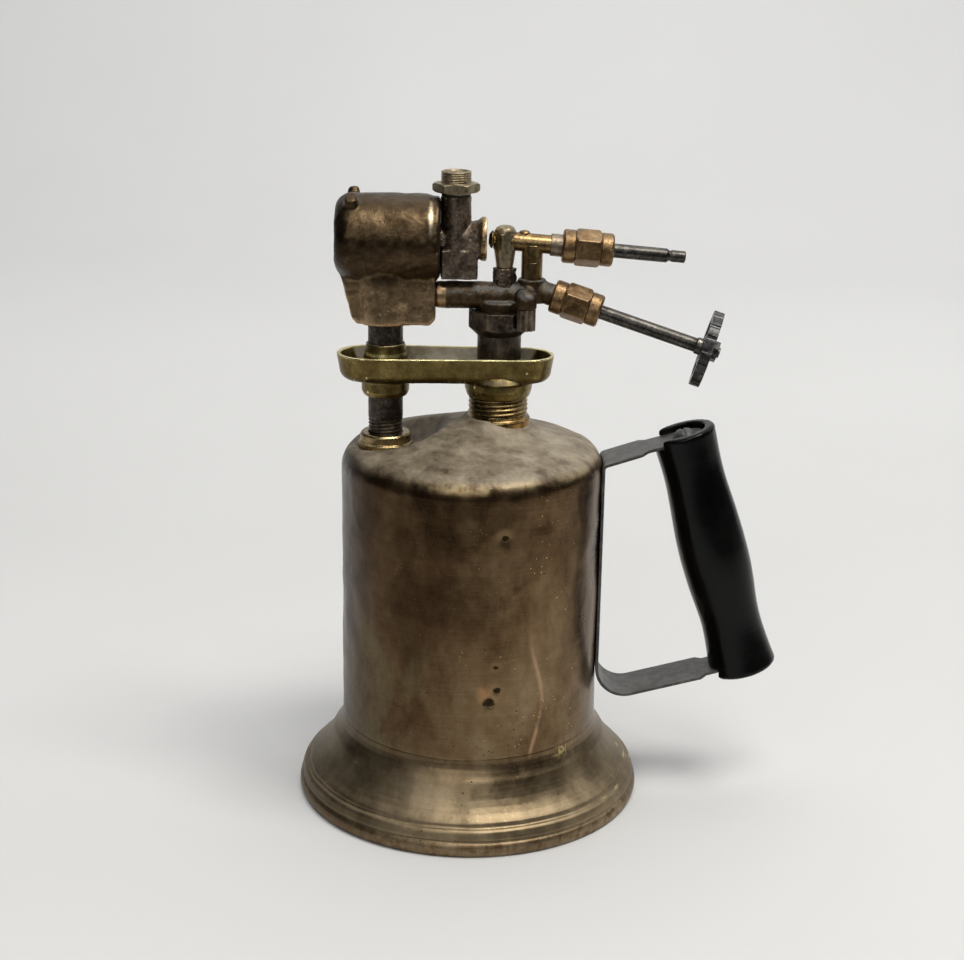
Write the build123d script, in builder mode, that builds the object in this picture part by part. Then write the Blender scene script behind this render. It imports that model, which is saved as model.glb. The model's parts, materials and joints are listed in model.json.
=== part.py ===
from build123d import *
import os
from math import cos, radians, sin, tan

# Antique brass gasoline blow torch, in millimetres.
# The origin is on the tank axis, in the plane that the foot rests on.
# +Z is up, the muzzle points along -X, and the handle is on the +X side.

# ---------------------------------------------------------------- driving dimensions
INCH = 25.4
FIT = 0.05                      # radial gap of a running or screwed fit
SHEET = 1.0                     # sheet brass of the tank and the foot

BODY_R = 52.0                   # outer radius of the tank
FOOT_R = 70.0                   # outer radius of the foot's rolled rim
SEAM_Z = 33.0                   # top edge of the foot on the tank
TANK_LOW_Z = 16.0               # lower edge of the tank wall, inside the foot
SWAGE = 1.05                    # how far the tank wall steps in below the seam
SHOULDER_Z = 138.0              # where the wall turns into the shoulder
SHOULDER_R = 9.0
DOME_TILT = 16.0                # slope of the domed top, in degrees
DOME_FLAT_R = 13.0              # flat middle of the domed top
FLOOR_Z = 20.0                  # underside of the tank's bottom plate
FLOOR_T = 1.2

FRONT_X = -34.5                 # axis of the front pipe
REAR_X = 9.9                    # axis of the rear column
PIPE_R = 13.7 / 2               # 1/4 in iron pipe
PIPE_BORE_R = 4.6
REAR_PIPE_R = 17.1 / 2          # 3/8 in iron pipe
BUSH_LOW_Z = 141.9
HOLLOW_R = 30.0                 # ball that forms the hollow round the front bush

CUP_Z = 172.5                   # underside of the priming cup
CUP_RIM_Z = 183.0
CUP_WALL = 1.5
CUP_FRONT_X = -40.3             # centre and radius of the cup's round ends, at the rim
CUP_FRONT_R = 13.4
CUP_REAR_X = 19.9
CUP_REAR_R = 11.8
CUP_TAPER = 1.8                 # how much smaller the ends are at the underside

BARREL_Z = 228.4                # axis of the burner barrel
BARREL_R = 16.6
BARREL_BORE_R = 13.2
BARREL_REAR_X = -13.4
BARREL_NOSE_X = -47.5           # where the barrel begins to round off to the muzzle
MUZZLE_X = -53.9
BOSS_R = 11.0                   # lower boss round the front pipe
BOSS_Z = 195.0
BOSS_REAR_X = -15.0

BLOCK_X = -7.5                  # axis of the mixing block's upright
BLOCK_R = 5.9
BLOCK_Z = 213.0
BLOCK_TOP_Z = 244.5
MIX_Z = 228.0                   # axis of the mixing bore and its disc

ARM_Z = 206.2                   # axis of the vapour arm
ARM_R = 5.3
POST_X = 11.5                   # axis of the jet post
LINK_X = 22.0                   # axis of the link tube
TUBE_R = 3.65                   # upper valve tube
STEM_R = 2.75
HEX_AF = INCH / 2               # packing nuts
UPPER_TILT = 4.5                # droop of the upper valve axis, in degrees
LOWER_TILT = 16.8               # droop of the lower valve axis, in degrees
LOWER_SWING = 9.0               # how far the lower valve axis swings towards -Y, in degrees
WHEEL_R = 15.0

GRIP_L = 105.0
GRIP_TILT = 16.3                # lean of the grip away from the upright, in degrees
GRIP_TOP = (83.4, 153.1)        # X and Z of the middle of the grip's top end
STRAP_W = 21.0
STRAP_T = 1.2
TAB_W = 16.0                    # the strap narrows to this where it enters the grip
BOLT_R = INCH / 8               # 1/4 in bolt through the grip

PUMP_X = 22.0                   # axis of the pump in the tank's floor
PUMP_R = 9.5                    # bore radius of the pump barrel
PUMP_TOP_Z = 104.0
FILLER_X = -14.0                # axis of the filler plug in the tank's floor
FILLER_Y = 26.0

# ---------------------------------------------------------------- axes and planes
front_axis = Axis((FRONT_X, 0, 0), (0, 0, 1))
rear_axis = Axis((REAR_X, 0, 0), (0, 0, 1))
block_axis = Axis((BLOCK_X, 0, 0), (0, 0, 1))
post_axis = Axis((POST_X, 0, 0), (0, 0, 1))
pump_axis = Axis((PUMP_X, 0, 0), (0, 0, 1))
filler_axis = Axis((FILLER_X, FILLER_Y, 0), (0, 0, 1))
filler_side = Plane.XZ.offset(-FILLER_Y)
barrel_axis = Axis((0, 0, BARREL_Z), (1, 0, 0))
mix_axis = Axis((0, 0, MIX_Z), (1, 0, 0))


def side_plane(origin, droop, swing=0.0):
    """Upright plane through an axis that droops towards +X and swings towards -Y.

    Local x runs out along the axis and local y is up.
    """
    level = cos(radians(droop))
    out = (level * cos(radians(swing)), -level * sin(radians(swing)), -sin(radians(droop)))
    return Plane(origin=origin, x_dir=out, z_dir=(-sin(radians(swing)), -cos(radians(swing)), 0))


def end_plane(side, distance):
    """Plane across the axis of a side plane, with its local x up, so a hexagon's corner points up."""
    return Plane(origin=side.from_local_coords((distance, 0, 0)), x_dir=side.y_dir, z_dir=side.x_dir)


upper_side = side_plane((13.5, 0, 227.4), UPPER_TILT)
upper_axis = Axis(upper_side.origin, upper_side.x_dir)
lower_side = side_plane((47.9, -4.6, 201.4), LOWER_TILT, LOWER_SWING)
lower_axis = Axis(lower_side.origin, lower_side.x_dir)
grip_side = side_plane((GRIP_TOP[0], 0, GRIP_TOP[1]), 90 - GRIP_TILT)
grip_axis = Axis(grip_side.origin, grip_side.x_dir)

os.makedirs("parts", exist_ok=True)

# ---------------------------------------------------------------- tank
def tank_form(inset):
    """Solid form of the tank with its wall set in, and the hollow in its top for the front bush."""
    corner = SHOULDER_R - inset
    wall = BODY_R - inset
    with BuildPart() as form:
        with BuildSketch(Plane.XZ):
            with BuildLine():
                shoulder = CenterArc((BODY_R - SHOULDER_R, SHOULDER_Z), corner, 0, 90 - DOME_TILT)
                rise = (shoulder @ 1).X - DOME_FLAT_R
                top_z = (shoulder @ 1).Y + rise * tan(radians(DOME_TILT))
                Polyline(shoulder @ 1, (DOME_FLAT_R, top_z), (0, top_z), (0, TANK_LOW_Z - inset),
                         (wall - SWAGE, TANK_LOW_Z - inset), (wall - SWAGE, SEAM_Z + inset),
                         (wall, SEAM_Z + inset), shoulder @ 0)
            make_face()
        revolve(axis=Axis.Z)
        with Locations((FRONT_X, 0, BUSH_LOW_Z + HOLLOW_R)):
            Sphere(HOLLOW_R + inset, mode=Mode.SUBTRACT)
    return form.part


NECK_R = 12.8
with BuildPart() as tank_shell:
    add(tank_form(0))
    add(tank_form(SHEET), mode=Mode.SUBTRACT)
    with BuildSketch(Plane.XY.offset(TANK_LOW_Z - SHEET)):
        Circle(BODY_R - SWAGE - SHEET)
    extrude(amount=FLOOR_Z - TANK_LOW_Z, mode=Mode.SUBTRACT)
    with BuildSketch(Plane.XY.offset(SHOULDER_Z)):
        with Locations((FRONT_X, 0)):
            Circle(PIPE_R + FIT)
        with Locations((REAR_X, 0)):
            Circle(NECK_R + FIT)
    extrude(amount=2 * SHOULDER_R + SHEET, mode=Mode.SUBTRACT)
tank_shell.part.label = "tank_shell"
export_step(tank_shell.part, "parts/tank_shell.step")

FLANGE_R = BODY_R - SWAGE - SHEET - FIT
PUMP_WALL = 1.0
FILLER_R = 11.0
with BuildPart() as tank_bottom:
    with BuildSketch(Plane.XZ):
        Polygon((0, FLOOR_Z), (FLANGE_R - FLOOR_T, FLOOR_Z), (FLANGE_R - FLOOR_T, TANK_LOW_Z),
                (FLANGE_R, TANK_LOW_Z), (FLANGE_R, FLOOR_Z + FLOOR_T), (0, FLOOR_Z + FLOOR_T), align=None)
    revolve(axis=Axis.Z)
    with BuildSketch(Plane.XY.offset(FLOOR_Z)):
        with Locations((PUMP_X, 0)):
            Circle(PUMP_R + PUMP_WALL + FIT)
        with Locations((FILLER_X, FILLER_Y)):
            Circle(FILLER_R + FIT)
    extrude(amount=FLOOR_T, mode=Mode.SUBTRACT)
tank_bottom.part.label = "tank_bottom"
export_step(tank_bottom.part, "parts/tank_bottom.step")

# The foot's upper edge is a sleeve round the tank, and its rim is rolled under.
with BuildPart() as foot_ring:
    with BuildSketch(Plane.XZ):
        with BuildLine():
            sleeve = Line((BODY_R - SWAGE + FIT, SEAM_Z - FIT), (BODY_R, SEAM_Z - FIT))
            flare = ThreePointArc(sleeve @ 1, (57.4, 22.0), (66.0, 12.4))
            step = Polyline(flare @ 1, (67.6, 11.2), (67.9, 9.6), (69.0, 8.4))
            rim = ThreePointArc(step @ 1, (FOOT_R, 4.2), (69.0, 0.0))
            under = Polyline(rim @ 1, (67.0, 0.0), (66.4, 1.2), (66.4, 8.4), (65.0, 11.0))
            inner = ThreePointArc(under @ 1, (56.4, 20.8), (BODY_R - SWAGE + FIT, SEAM_Z - 6.0))
            Line(inner @ 1, sleeve @ 0)
        make_face()
    revolve(axis=Axis.Z)
foot_ring.part.label = "foot_ring"
export_step(foot_ring.part, "parts/foot_ring.step")

# ---------------------------------------------------------------- front column
BUSH_TOP_Z = 151.0
BUSH_STEP_R = 10.0
with BuildPart() as front_bush:
    with BuildSketch(Plane.XZ):
        Polygon((FRONT_X + PIPE_R + FIT, BUSH_LOW_Z), (FRONT_X + 10.9, BUSH_LOW_Z), (FRONT_X + 10.9, 147.0),
                (FRONT_X + BUSH_STEP_R, 147.4), (FRONT_X + BUSH_STEP_R, 150.2), (FRONT_X + 9.3, BUSH_TOP_Z),
                (FRONT_X + PIPE_R + FIT, BUSH_TOP_Z), align=None)
    revolve(axis=front_axis)
    with Locations((FRONT_X, 0, BUSH_LOW_Z + HOLLOW_R)):
        Sphere(HOLLOW_R - FIT, mode=Mode.INTERSECT)
front_bush.part.label = "front_bush"
export_step(front_bush.part, "parts/front_bush.step")

FRONT_PIPE_LOW_Z = 136.0
FRONT_PIPE_TOP_Z = 203.0
with BuildPart() as front_pipe:
    with BuildSketch(Plane.XY.offset(FRONT_PIPE_LOW_Z)):
        with Locations((FRONT_X, 0)):
            Circle(PIPE_R)
            Circle(PIPE_BORE_R, mode=Mode.SUBTRACT)
    extrude(amount=FRONT_PIPE_TOP_Z - FRONT_PIPE_LOW_Z)
    chamfer(front_pipe.edges().filter_by(GeomType.CIRCLE).group_by(SortBy.RADIUS)[-1], 0.5)
front_pipe.part.label = "front_pipe"
export_step(front_pipe.part, "parts/front_pipe.step")

DIP_R = PIPE_BORE_R - FIT
DIP_BORE_R = 3.6
DIP_LOW_Z = 25.0
with BuildPart() as dip_tube:
    with BuildSketch(Plane.XY.offset(DIP_LOW_Z)):
        with Locations((FRONT_X, 0)):
            Circle(DIP_R)
            Circle(DIP_BORE_R, mode=Mode.SUBTRACT)
    extrude(amount=BUSH_TOP_Z - DIP_LOW_Z)
dip_tube.part.label = "dip_tube"
export_step(dip_tube.part, "parts/dip_tube.step")

WICK_TOP_Z = 178.0
with BuildPart() as wick:
    with BuildSketch(Plane.XY.offset(DIP_LOW_Z - 2)):
        with Locations((FRONT_X, 0)):
            Circle(DIP_BORE_R - FIT)
    extrude(amount=WICK_TOP_Z - DIP_LOW_Z + 2)
wick.part.label = "wick"
export_step(wick.part, "parts/wick.step")

SCREEN_R = PIPE_BORE_R - FIT
with BuildPart() as vapour_screen:
    with BuildSketch(Plane.XY.offset(WICK_TOP_Z + 1)):
        with Locations((FRONT_X, 0)):
            Circle(SCREEN_R)
            Circle(SCREEN_R - 1.2, mode=Mode.SUBTRACT)
    extrude(amount=18.0)
vapour_screen.part.label = "vapour_screen"
export_step(vapour_screen.part, "parts/vapour_screen.step")

# ---------------------------------------------------------------- rear column
THREAD_R = 11.65
THREAD_DEPTH = 0.7
THREAD_PITCH = 1.8
NECK_TOP_Z = 173.8
thread_outline = []
for turn in range(4):
    root_z = 159.4 + turn * THREAD_PITCH
    thread_outline.append((REAR_X + THREAD_R - THREAD_DEPTH, root_z))
    thread_outline.append((REAR_X + THREAD_R, root_z + THREAD_PITCH / 2))
with BuildPart() as rear_neck:
    with BuildSketch(Plane.XZ):
        Polygon((REAR_X + REAR_PIPE_R + FIT, 149.0), (REAR_X + NECK_R, 149.0), (REAR_X + NECK_R, 157.6),
                (REAR_X + 12.3, 158.6), *thread_outline, (REAR_X + THREAD_R - THREAD_DEPTH, 166.6),
                (REAR_X + THREAD_R - THREAD_DEPTH, NECK_TOP_Z), (REAR_X + REAR_PIPE_R + FIT, NECK_TOP_Z),
                align=None)
    revolve(axis=rear_axis)
rear_neck.part.label = "rear_neck"
export_step(rear_neck.part, "parts/rear_neck.step")


def cup_form(inset, low_z, high_z):
    """Tapered oblong between the two round ends of the cup, with its wall set in."""
    with BuildPart() as form:
        with BuildSketch(Plane.XY.offset(low_z)):
            with Locations((CUP_FRONT_X, 0)):
                Circle(CUP_FRONT_R - CUP_TAPER - inset)
            with Locations((CUP_REAR_X, 0)):
                Circle(CUP_REAR_R - CUP_TAPER - inset)
            make_hull()
        with BuildSketch(Plane.XY.offset(high_z)):
            with Locations((CUP_FRONT_X, 0)):
                Circle(CUP_FRONT_R - inset)
            with Locations((CUP_REAR_X, 0)):
                Circle(CUP_REAR_R - inset)
            make_hull()
        loft()
        fillet(form.faces().sort_by(Axis.Z)[0].edges(), 4.0 - inset)
    return form.part


CUP_FLOOR_Z = CUP_Z + 1.9
BOSS_TOP_Z = 187.0
with BuildPart() as drip_cup:
    add(cup_form(0, CUP_Z, CUP_RIM_Z))
    add(cup_form(CUP_WALL, CUP_FLOOR_Z, CUP_RIM_Z + FIT), mode=Mode.SUBTRACT)
    with BuildSketch(Plane.XZ):
        Polygon((FRONT_X, 166.0), (FRONT_X + 8.4, 166.0), (FRONT_X + 9.4, 168.0), (FRONT_X + 9.4, CUP_FLOOR_Z),
                (FRONT_X + 9.9, CUP_FLOOR_Z), (FRONT_X + 7.6, BOSS_TOP_Z), (FRONT_X, BOSS_TOP_Z), align=None)
    revolve(axis=front_axis)
    with BuildSketch(Plane.XZ):
        Polygon((REAR_X, 166.6), (REAR_X + 12.3, 166.6), (REAR_X + 13.3, 170.0), (REAR_X + 13.3, CUP_Z + 0.4),
                (REAR_X + 10.2, CUP_FLOOR_Z + 1.6), (REAR_X, CUP_FLOOR_Z + 1.6), align=None)
    revolve(axis=rear_axis)
    with BuildSketch(Plane.XY.offset(166.0)):
        with Locations((FRONT_X, 0)):
            Circle(PIPE_R + FIT)
    extrude(amount=BOSS_TOP_Z - 166.0, mode=Mode.SUBTRACT)
    with BuildSketch(Plane.XY.offset(166.0)):
        with Locations((REAR_X, 0)):
            Circle(THREAD_R - THREAD_DEPTH + FIT)
    extrude(amount=NECK_TOP_Z + FIT - 166.0, mode=Mode.SUBTRACT)
    with BuildSketch(Plane.XY.offset(NECK_TOP_Z)):
        with Locations((REAR_X, 0)):
            Circle(REAR_PIPE_R + FIT)
    extrude(amount=4.0, mode=Mode.SUBTRACT)
drip_cup.part.label = "drip_cup"
export_step(drip_cup.part, "parts/drip_cup.step")

REAR_PIPE_LOW_Z = 153.0
REAR_PIPE_TOP_Z = 196.5
with BuildPart() as rear_pipe:
    with BuildSketch(Plane.XY.offset(REAR_PIPE_LOW_Z)):
        with Locations((REAR_X, 0)):
            Circle(REAR_PIPE_R)
            Circle(6.3, mode=Mode.SUBTRACT)
    extrude(amount=REAR_PIPE_TOP_Z - REAR_PIPE_LOW_Z)
rear_pipe.part.label = "rear_pipe"
export_step(rear_pipe.part, "parts/rear_pipe.step")

# The union nut is octagonal, with a chamfered lower end.
UNION_AF = 24.0
UNION_TOP_Z = 200.7
with BuildPart() as union_nut:
    with BuildSketch(Plane.XY.offset(191.0)):
        with Locations((REAR_X, 0)):
            RegularPolygon(UNION_AF / 2, 8, major_radius=False, rotation=22.5)
    extrude(amount=UNION_TOP_Z - 191.0)
    with BuildSketch(Plane.XZ):
        Polygon((REAR_X, 191.0), (REAR_X + 8.9, 191.0), (REAR_X + 13.4, 195.2), (REAR_X + 13.4, 199.9),
                (REAR_X + 12.4, UNION_TOP_Z), (REAR_X, UNION_TOP_Z), align=None)
    revolve(axis=rear_axis, mode=Mode.INTERSECT)
    with BuildSketch(Plane.XY.offset(191.0)):
        with Locations((REAR_X, 0)):
            Circle(REAR_PIPE_R + FIT)
    extrude(amount=UNION_TOP_Z - 191.0, mode=Mode.SUBTRACT)
union_nut.part.label = "union_nut"
export_step(union_nut.part, "parts/union_nut.step")

# ---------------------------------------------------------------- burner
MUZZLE_R = 10.8
LUG_X = -47.2
LUG_ANGLE = 33                  # each horn of the iron rest leans this far to its side, in degrees
LUG_REACH = 19.9                # from the barrel's axis to the top of a horn
WEB_T = 11.0                    # thickness of the web below the muzzle
CHEEK_T = 14.0                  # thickness of the cheek behind the lower boss
with BuildPart() as burner_form:
    with BuildSketch(Plane.XZ):
        with BuildLine():
            rear = Polyline((BARREL_REAR_X, BARREL_Z), (BARREL_REAR_X, BARREL_Z + 15.4), (-14.4, BARREL_Z + 16.1),
                            (-15.6, BARREL_Z + 15.6), (-18.6, BARREL_Z + BARREL_R),
                            (BARREL_NOSE_X, BARREL_Z + BARREL_R))
            nose = ThreePointArc(rear @ 1, (-51.9, BARREL_Z + 14.8), (MUZZLE_X, BARREL_Z + MUZZLE_R))
            Polyline(nose @ 1, (MUZZLE_X, BARREL_Z), rear @ 0)
        make_face()
    revolve(axis=barrel_axis)
    with BuildSketch(Plane.XZ):
        Polygon((-53.0, 219.0), (-47.6, 197.6), (-45.5, BOSS_Z), (FRONT_X, BOSS_Z), (FRONT_X, 224.0),
                (-53.0, 224.0), align=None)
    extrude(amount=WEB_T / 2, both=True)
    with BuildSketch(Plane.XY.offset(BOSS_Z)):
        with Locations((FRONT_X, 0)):
            Circle(BOSS_R)
    extrude(amount=26.0)
    with BuildSketch(Plane.XZ):
        Polygon((FRONT_X, BOSS_Z), (-17.0, BOSS_Z), (BOSS_REAR_X, BOSS_Z + 2.5), (BOSS_REAR_X, 219.0),
                (FRONT_X, 219.0), align=None)
    extrude(amount=CHEEK_T / 2, both=True)
    for side in (-1, 1):
        out = (0, side * sin(radians(LUG_ANGLE)), cos(radians(LUG_ANGLE)))
        with BuildSketch(Plane(origin=(LUG_X, 0, BARREL_Z), x_dir=(1, 0, 0), z_dir=out).offset(14.0)):
            RectangleRounded(4.8, 6.6, 2.0)
        extrude(amount=LUG_REACH - 14.0)
    with BuildSketch(Plane.XZ):
        Polygon((MUZZLE_X - 1, BARREL_Z), (MUZZLE_X - 1, BARREL_Z + MUZZLE_R), (MUZZLE_X + 1.2, BARREL_Z + 9.6),
                (-46.0, BARREL_Z + BARREL_BORE_R), (-20.0, BARREL_Z + BARREL_BORE_R), (-20.0, BARREL_Z), align=None)
    revolve(axis=barrel_axis, mode=Mode.SUBTRACT)
    with BuildSketch(Plane.XY.offset(BOSS_Z)):
        with Locations((FRONT_X, 0)):
            Circle(PIPE_R + FIT)
    extrude(amount=FRONT_PIPE_TOP_Z + FIT - BOSS_Z, mode=Mode.SUBTRACT)
    with BuildSketch(Plane.XY.offset(FRONT_PIPE_TOP_Z)):
        with Locations((FRONT_X, 0)):
            Circle(3.0)
    extrude(amount=7.0, mode=Mode.SUBTRACT)

ARM_END_R = 4.0
ARM_END_X = -21.0
SPIGOT_R = 4.8
with BuildPart() as burner_bores:
    with BuildSketch(Plane.YZ.offset(FRONT_X)):
        with Locations((0, ARM_Z)):
            Circle(2.2)
    extrude(amount=ARM_END_X - FRONT_X)
    with BuildSketch(Plane.YZ.offset(ARM_END_X - FIT)):
        with Locations((0, ARM_Z)):
            Circle(ARM_END_R + FIT)
    extrude(amount=BOSS_REAR_X - ARM_END_X + 1)
    with BuildSketch(Plane.YZ.offset(-21.0)):
        with Locations((0, MIX_Z)):
            Circle(SPIGOT_R + FIT)
    extrude(amount=10.0)

with BuildPart() as burner_casting:
    add(burner_form.part)
    add(burner_bores.part, mode=Mode.SUBTRACT)
burner_casting.part.label = "burner_casting"
export_step(burner_casting.part, "parts/burner_casting.step")

DISC_X = 2.5
DISC_R = 8.5
with BuildPart() as mixing_block:
    with BuildSketch(Plane.XY.offset(BLOCK_Z)):
        with Locations((BLOCK_X, 0)):
            Circle(BLOCK_R)
    extrude(amount=BLOCK_TOP_Z - BLOCK_Z)
    with Locations((-5.9, 0, 218.6)):
        Box(14.0, 11.6, 11.2)
    with BuildSketch(Plane.XZ):
        Polygon((-10.0, MIX_Z), (-10.0, MIX_Z + 5.6), (-4.0, MIX_Z + 5.9), (DISC_X - 1.2, MIX_Z + 7.2),
                (DISC_X, MIX_Z + DISC_R), (DISC_X + 2.0, MIX_Z + DISC_R), (DISC_X + 2.0, MIX_Z), align=None)
    revolve(axis=mix_axis)
    with BuildSketch(Plane.YZ.offset(-20.0)):
        with Locations((0, MIX_Z)):
            Circle(SPIGOT_R)
    extrude(amount=9.0)
    with BuildSketch(Plane.XZ):
        Polygon((-22.0, MIX_Z), (-22.0, MIX_Z + 3.2), (-2.0, MIX_Z + 3.2), (DISC_X + 3.0, MIX_Z + 6.4),
                (DISC_X + 3.0, MIX_Z), align=None)
    revolve(axis=mix_axis, mode=Mode.SUBTRACT)
    with BuildSketch(Plane.XY.offset(BLOCK_TOP_Z)):
        with Locations((BLOCK_X, 0)):
            Circle(3.6)
    extrude(amount=BLOCK_TOP_Z - MIX_Z, dir=(0, 0, -1), mode=Mode.SUBTRACT)
mixing_block.part.label = "mixing_block"
export_step(mixing_block.part, "parts/mixing_block.step")

GASKET_T = 0.8
with BuildPart() as plug_gasket:
    with BuildSketch(Plane.XY.offset(BLOCK_TOP_Z)):
        with Locations((BLOCK_X, 0)):
            Circle(5.6)
            Circle(3.7, mode=Mode.SUBTRACT)
    extrude(amount=GASKET_T)
plug_gasket.part.label = "plug_gasket"
export_step(plug_gasket.part, "parts/plug_gasket.step")

PLUG_AF = 5 / 8 * INCH
PLUG_HEX_Z = 246.0
with BuildPart() as cleaning_plug:
    with BuildSketch(Plane.XZ):
        Polygon((BLOCK_X, 232.0), (BLOCK_X + 3.2, 232.0), (BLOCK_X + 3.55, 232.6),
                (BLOCK_X + 3.55, BLOCK_TOP_Z + GASKET_T), (BLOCK_X + 5.9, BLOCK_TOP_Z + GASKET_T),
                (BLOCK_X + 5.9, 253.5), (BLOCK_X + 5.4, 254.0), (BLOCK_X + 4.4, 254.0), (BLOCK_X + 4.0, 253.0),
                (BLOCK_X, 253.0), align=None)
    revolve(axis=block_axis)
    with BuildSketch(Plane.XY.offset(PLUG_HEX_Z)):
        with Locations((BLOCK_X, 0)):
            RegularPolygon(PLUG_AF / 2, 6, major_radius=False)
    extrude(amount=3.4)
cleaning_plug.part.label = "cleaning_plug"
export_step(cleaning_plug.part, "parts/cleaning_plug.step")

# ---------------------------------------------------------------- valve body and its tubes
STEM_BORE_R = STEM_R + FIT
LOWER_NUT_S = -18.6             # distances along the lower valve axis
LOWER_BRANCH_S = -31.0
SIDE_X = 19.9                   # axis of the side plug
SIDE_Y = -12.2
SIDE_TOP_Z = 203.2
ELBOW_Z = 206.4                 # the side branch turns down here
ARM_TIP_X = 19.0
JUNCTION_R = 5.5                # block where the arm, the lower valve and the link tube meet
JUNCTION_Z = 203.6
JUNCTION_TOP_Z = 213.0
with BuildPart() as valve_form:
    with BuildSketch(Plane.YZ.offset(BOSS_REAR_X)):
        with Locations((0, ARM_Z)):
            Circle(ARM_R)
    extrude(amount=ARM_TIP_X - BOSS_REAR_X)
    with Locations((ARM_TIP_X, 0, ARM_Z)):
        Sphere(ARM_R)
    with BuildSketch(Plane.YZ.offset(ARM_END_X)):
        with Locations((0, ARM_Z)):
            Circle(ARM_END_R)
    extrude(amount=BOSS_REAR_X - ARM_END_X + 1)
    with BuildSketch(Plane.XY.offset(REAR_PIPE_TOP_Z)):
        with Locations((REAR_X, 0)):
            Circle(REAR_PIPE_R)
    extrude(amount=8.0)
    with BuildSketch(Plane.XY.offset(JUNCTION_Z)):
        with Locations((LINK_X, 0)):
            Circle(JUNCTION_R)
    extrude(amount=JUNCTION_TOP_Z - JUNCTION_Z)
    with BuildSketch(end_plane(lower_side, LOWER_BRANCH_S)):
        Circle(4.3)
    extrude(amount=LOWER_NUT_S + 9.0 - LOWER_BRANCH_S)
    with BuildSketch(Plane.XZ):
        with Locations((SIDE_X, ELBOW_Z)):
            Circle(4.0)
    extrude(amount=-SIDE_Y)
    with Locations((SIDE_X, SIDE_Y, ELBOW_Z)):
        Sphere(4.1)
    with BuildSketch(Plane.XY.offset(SIDE_TOP_Z)):
        with Locations((SIDE_X, SIDE_Y)):
            Circle(3.95)
    extrude(amount=ELBOW_Z - SIDE_TOP_Z)

NEEDLE_S = -27.0                # where the lower stem meets its needle
SEAT_X = 18.9                   # fuel rises here from the arm to the lower valve's seat
with BuildPart() as valve_bores:
    with BuildSketch(Plane.YZ.offset(ARM_END_X - 1)):
        with Locations((0, ARM_Z)):
            Circle(2.0)
    extrude(amount=SEAT_X + 1.5 - ARM_END_X)
    with BuildSketch(Plane.XY.offset(ARM_Z)):
        with Locations((SEAT_X, 0)):
            Circle(1.0)
    extrude(amount=4.2)
    with BuildSketch(end_plane(lower_side, NEEDLE_S - 4.0)):
        Circle(1.2)
    extrude(amount=8.0)
    with BuildSketch(Plane.XY.offset(209.5)):
        with Locations((LINK_X, 0)):
            Circle(1.9)
    extrude(amount=JUNCTION_TOP_Z + 1 - 209.5)
    with BuildSketch(end_plane(lower_side, NEEDLE_S - 3.0)):
        Circle(STEM_BORE_R)
    extrude(amount=24.0)

with BuildPart() as valve_body:
    add(valve_form.part)
    add(valve_bores.part, mode=Mode.SUBTRACT)
valve_body.part.label = "valve_body"
export_step(valve_body.part, "parts/valve_body.step")

# Ribbed round plug beside the union nut.
RIBS = 10
POST_FOOT_R = 2.25
with BuildPart() as side_plug:
    with BuildSketch(Plane.XY.offset(195.2)):
        with Locations((SIDE_X, SIDE_Y)):
            Circle(3.7)
            with PolarLocations(3.9, RIBS):
                Circle(0.6, mode=Mode.SUBTRACT)
    extrude(amount=SIDE_TOP_Z - 195.2)
    add(valve_form.part, mode=Mode.SUBTRACT)
side_plug.part.label = "side_plug"
export_step(side_plug.part, "parts/side_plug.step")

with BuildPart() as jet_post_nut:
    with BuildSketch(Plane.XY.offset(209.4)):
        with Locations((POST_X, 0)):
            RegularPolygon(4.6, 6)
            Circle(POST_FOOT_R + FIT, mode=Mode.SUBTRACT)
    extrude(amount=7.6)
    add(valve_form.part, mode=Mode.SUBTRACT)
jet_post_nut.part.label = "jet_post_nut"
export_step(jet_post_nut.part, "parts/jet_post_nut.step")

with BuildPart() as post_form:
    with BuildSketch(Plane.XZ):
        Polygon((POST_X, 212.0), (POST_X + POST_FOOT_R, 212.0), (POST_X + POST_FOOT_R, 217.0),
                (POST_X + 3.2, 217.0), (POST_X + 4.2, 224.0), (POST_X + 4.2, 233.4), (POST_X, 233.4), align=None)
    revolve(axis=post_axis)
    fillet(post_form.edges().sort_by(Axis.Z)[-1], 3.0)
    with BuildSketch(Plane.XY.offset(224.4)):
        with Locations((POST_X, 0)):
            RegularPolygon(4.1, 6, major_radius=False, rotation=15)
    extrude(amount=6.0)

TUBE_START_S = -1.5             # distances along the upper valve axis
COLLAR_S = 15.6
UPPER_NUT_S = 20.2
with BuildPart() as tube_form:
    with BuildSketch(end_plane(upper_side, TUBE_START_S)):
        Circle(TUBE_R)
    extrude(amount=UPPER_NUT_S + 9.0 - TUBE_START_S)
    with BuildSketch(Plane.XY.offset(219.5)):
        with Locations((LINK_X, 0)):
            Circle(4.1)
    extrude(amount=6.6)
    with BuildSketch(Plane.XY.offset(228.0)):
        with Locations((19.0, 0)):
            Circle(2.2)
    extrude(amount=3.6)
    fillet(tube_form.edges().filter_by(GeomType.CIRCLE).sort_by(Axis.Z)[-1], 1.6)

with BuildPart() as upper_bores:
    with BuildSketch(end_plane(upper_side, TUBE_START_S - 1)):
        Circle(1.0)
    extrude(amount=6.0)
    with BuildSketch(end_plane(upper_side, 1.0)):
        Circle(STEM_BORE_R)
    extrude(amount=40.0)

with BuildPart() as upper_valve_tube:
    add(tube_form.part)
    add(upper_bores.part, mode=Mode.SUBTRACT)
upper_valve_tube.part.label = "upper_valve_tube"
export_step(upper_valve_tube.part, "parts/upper_valve_tube.step")

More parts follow.
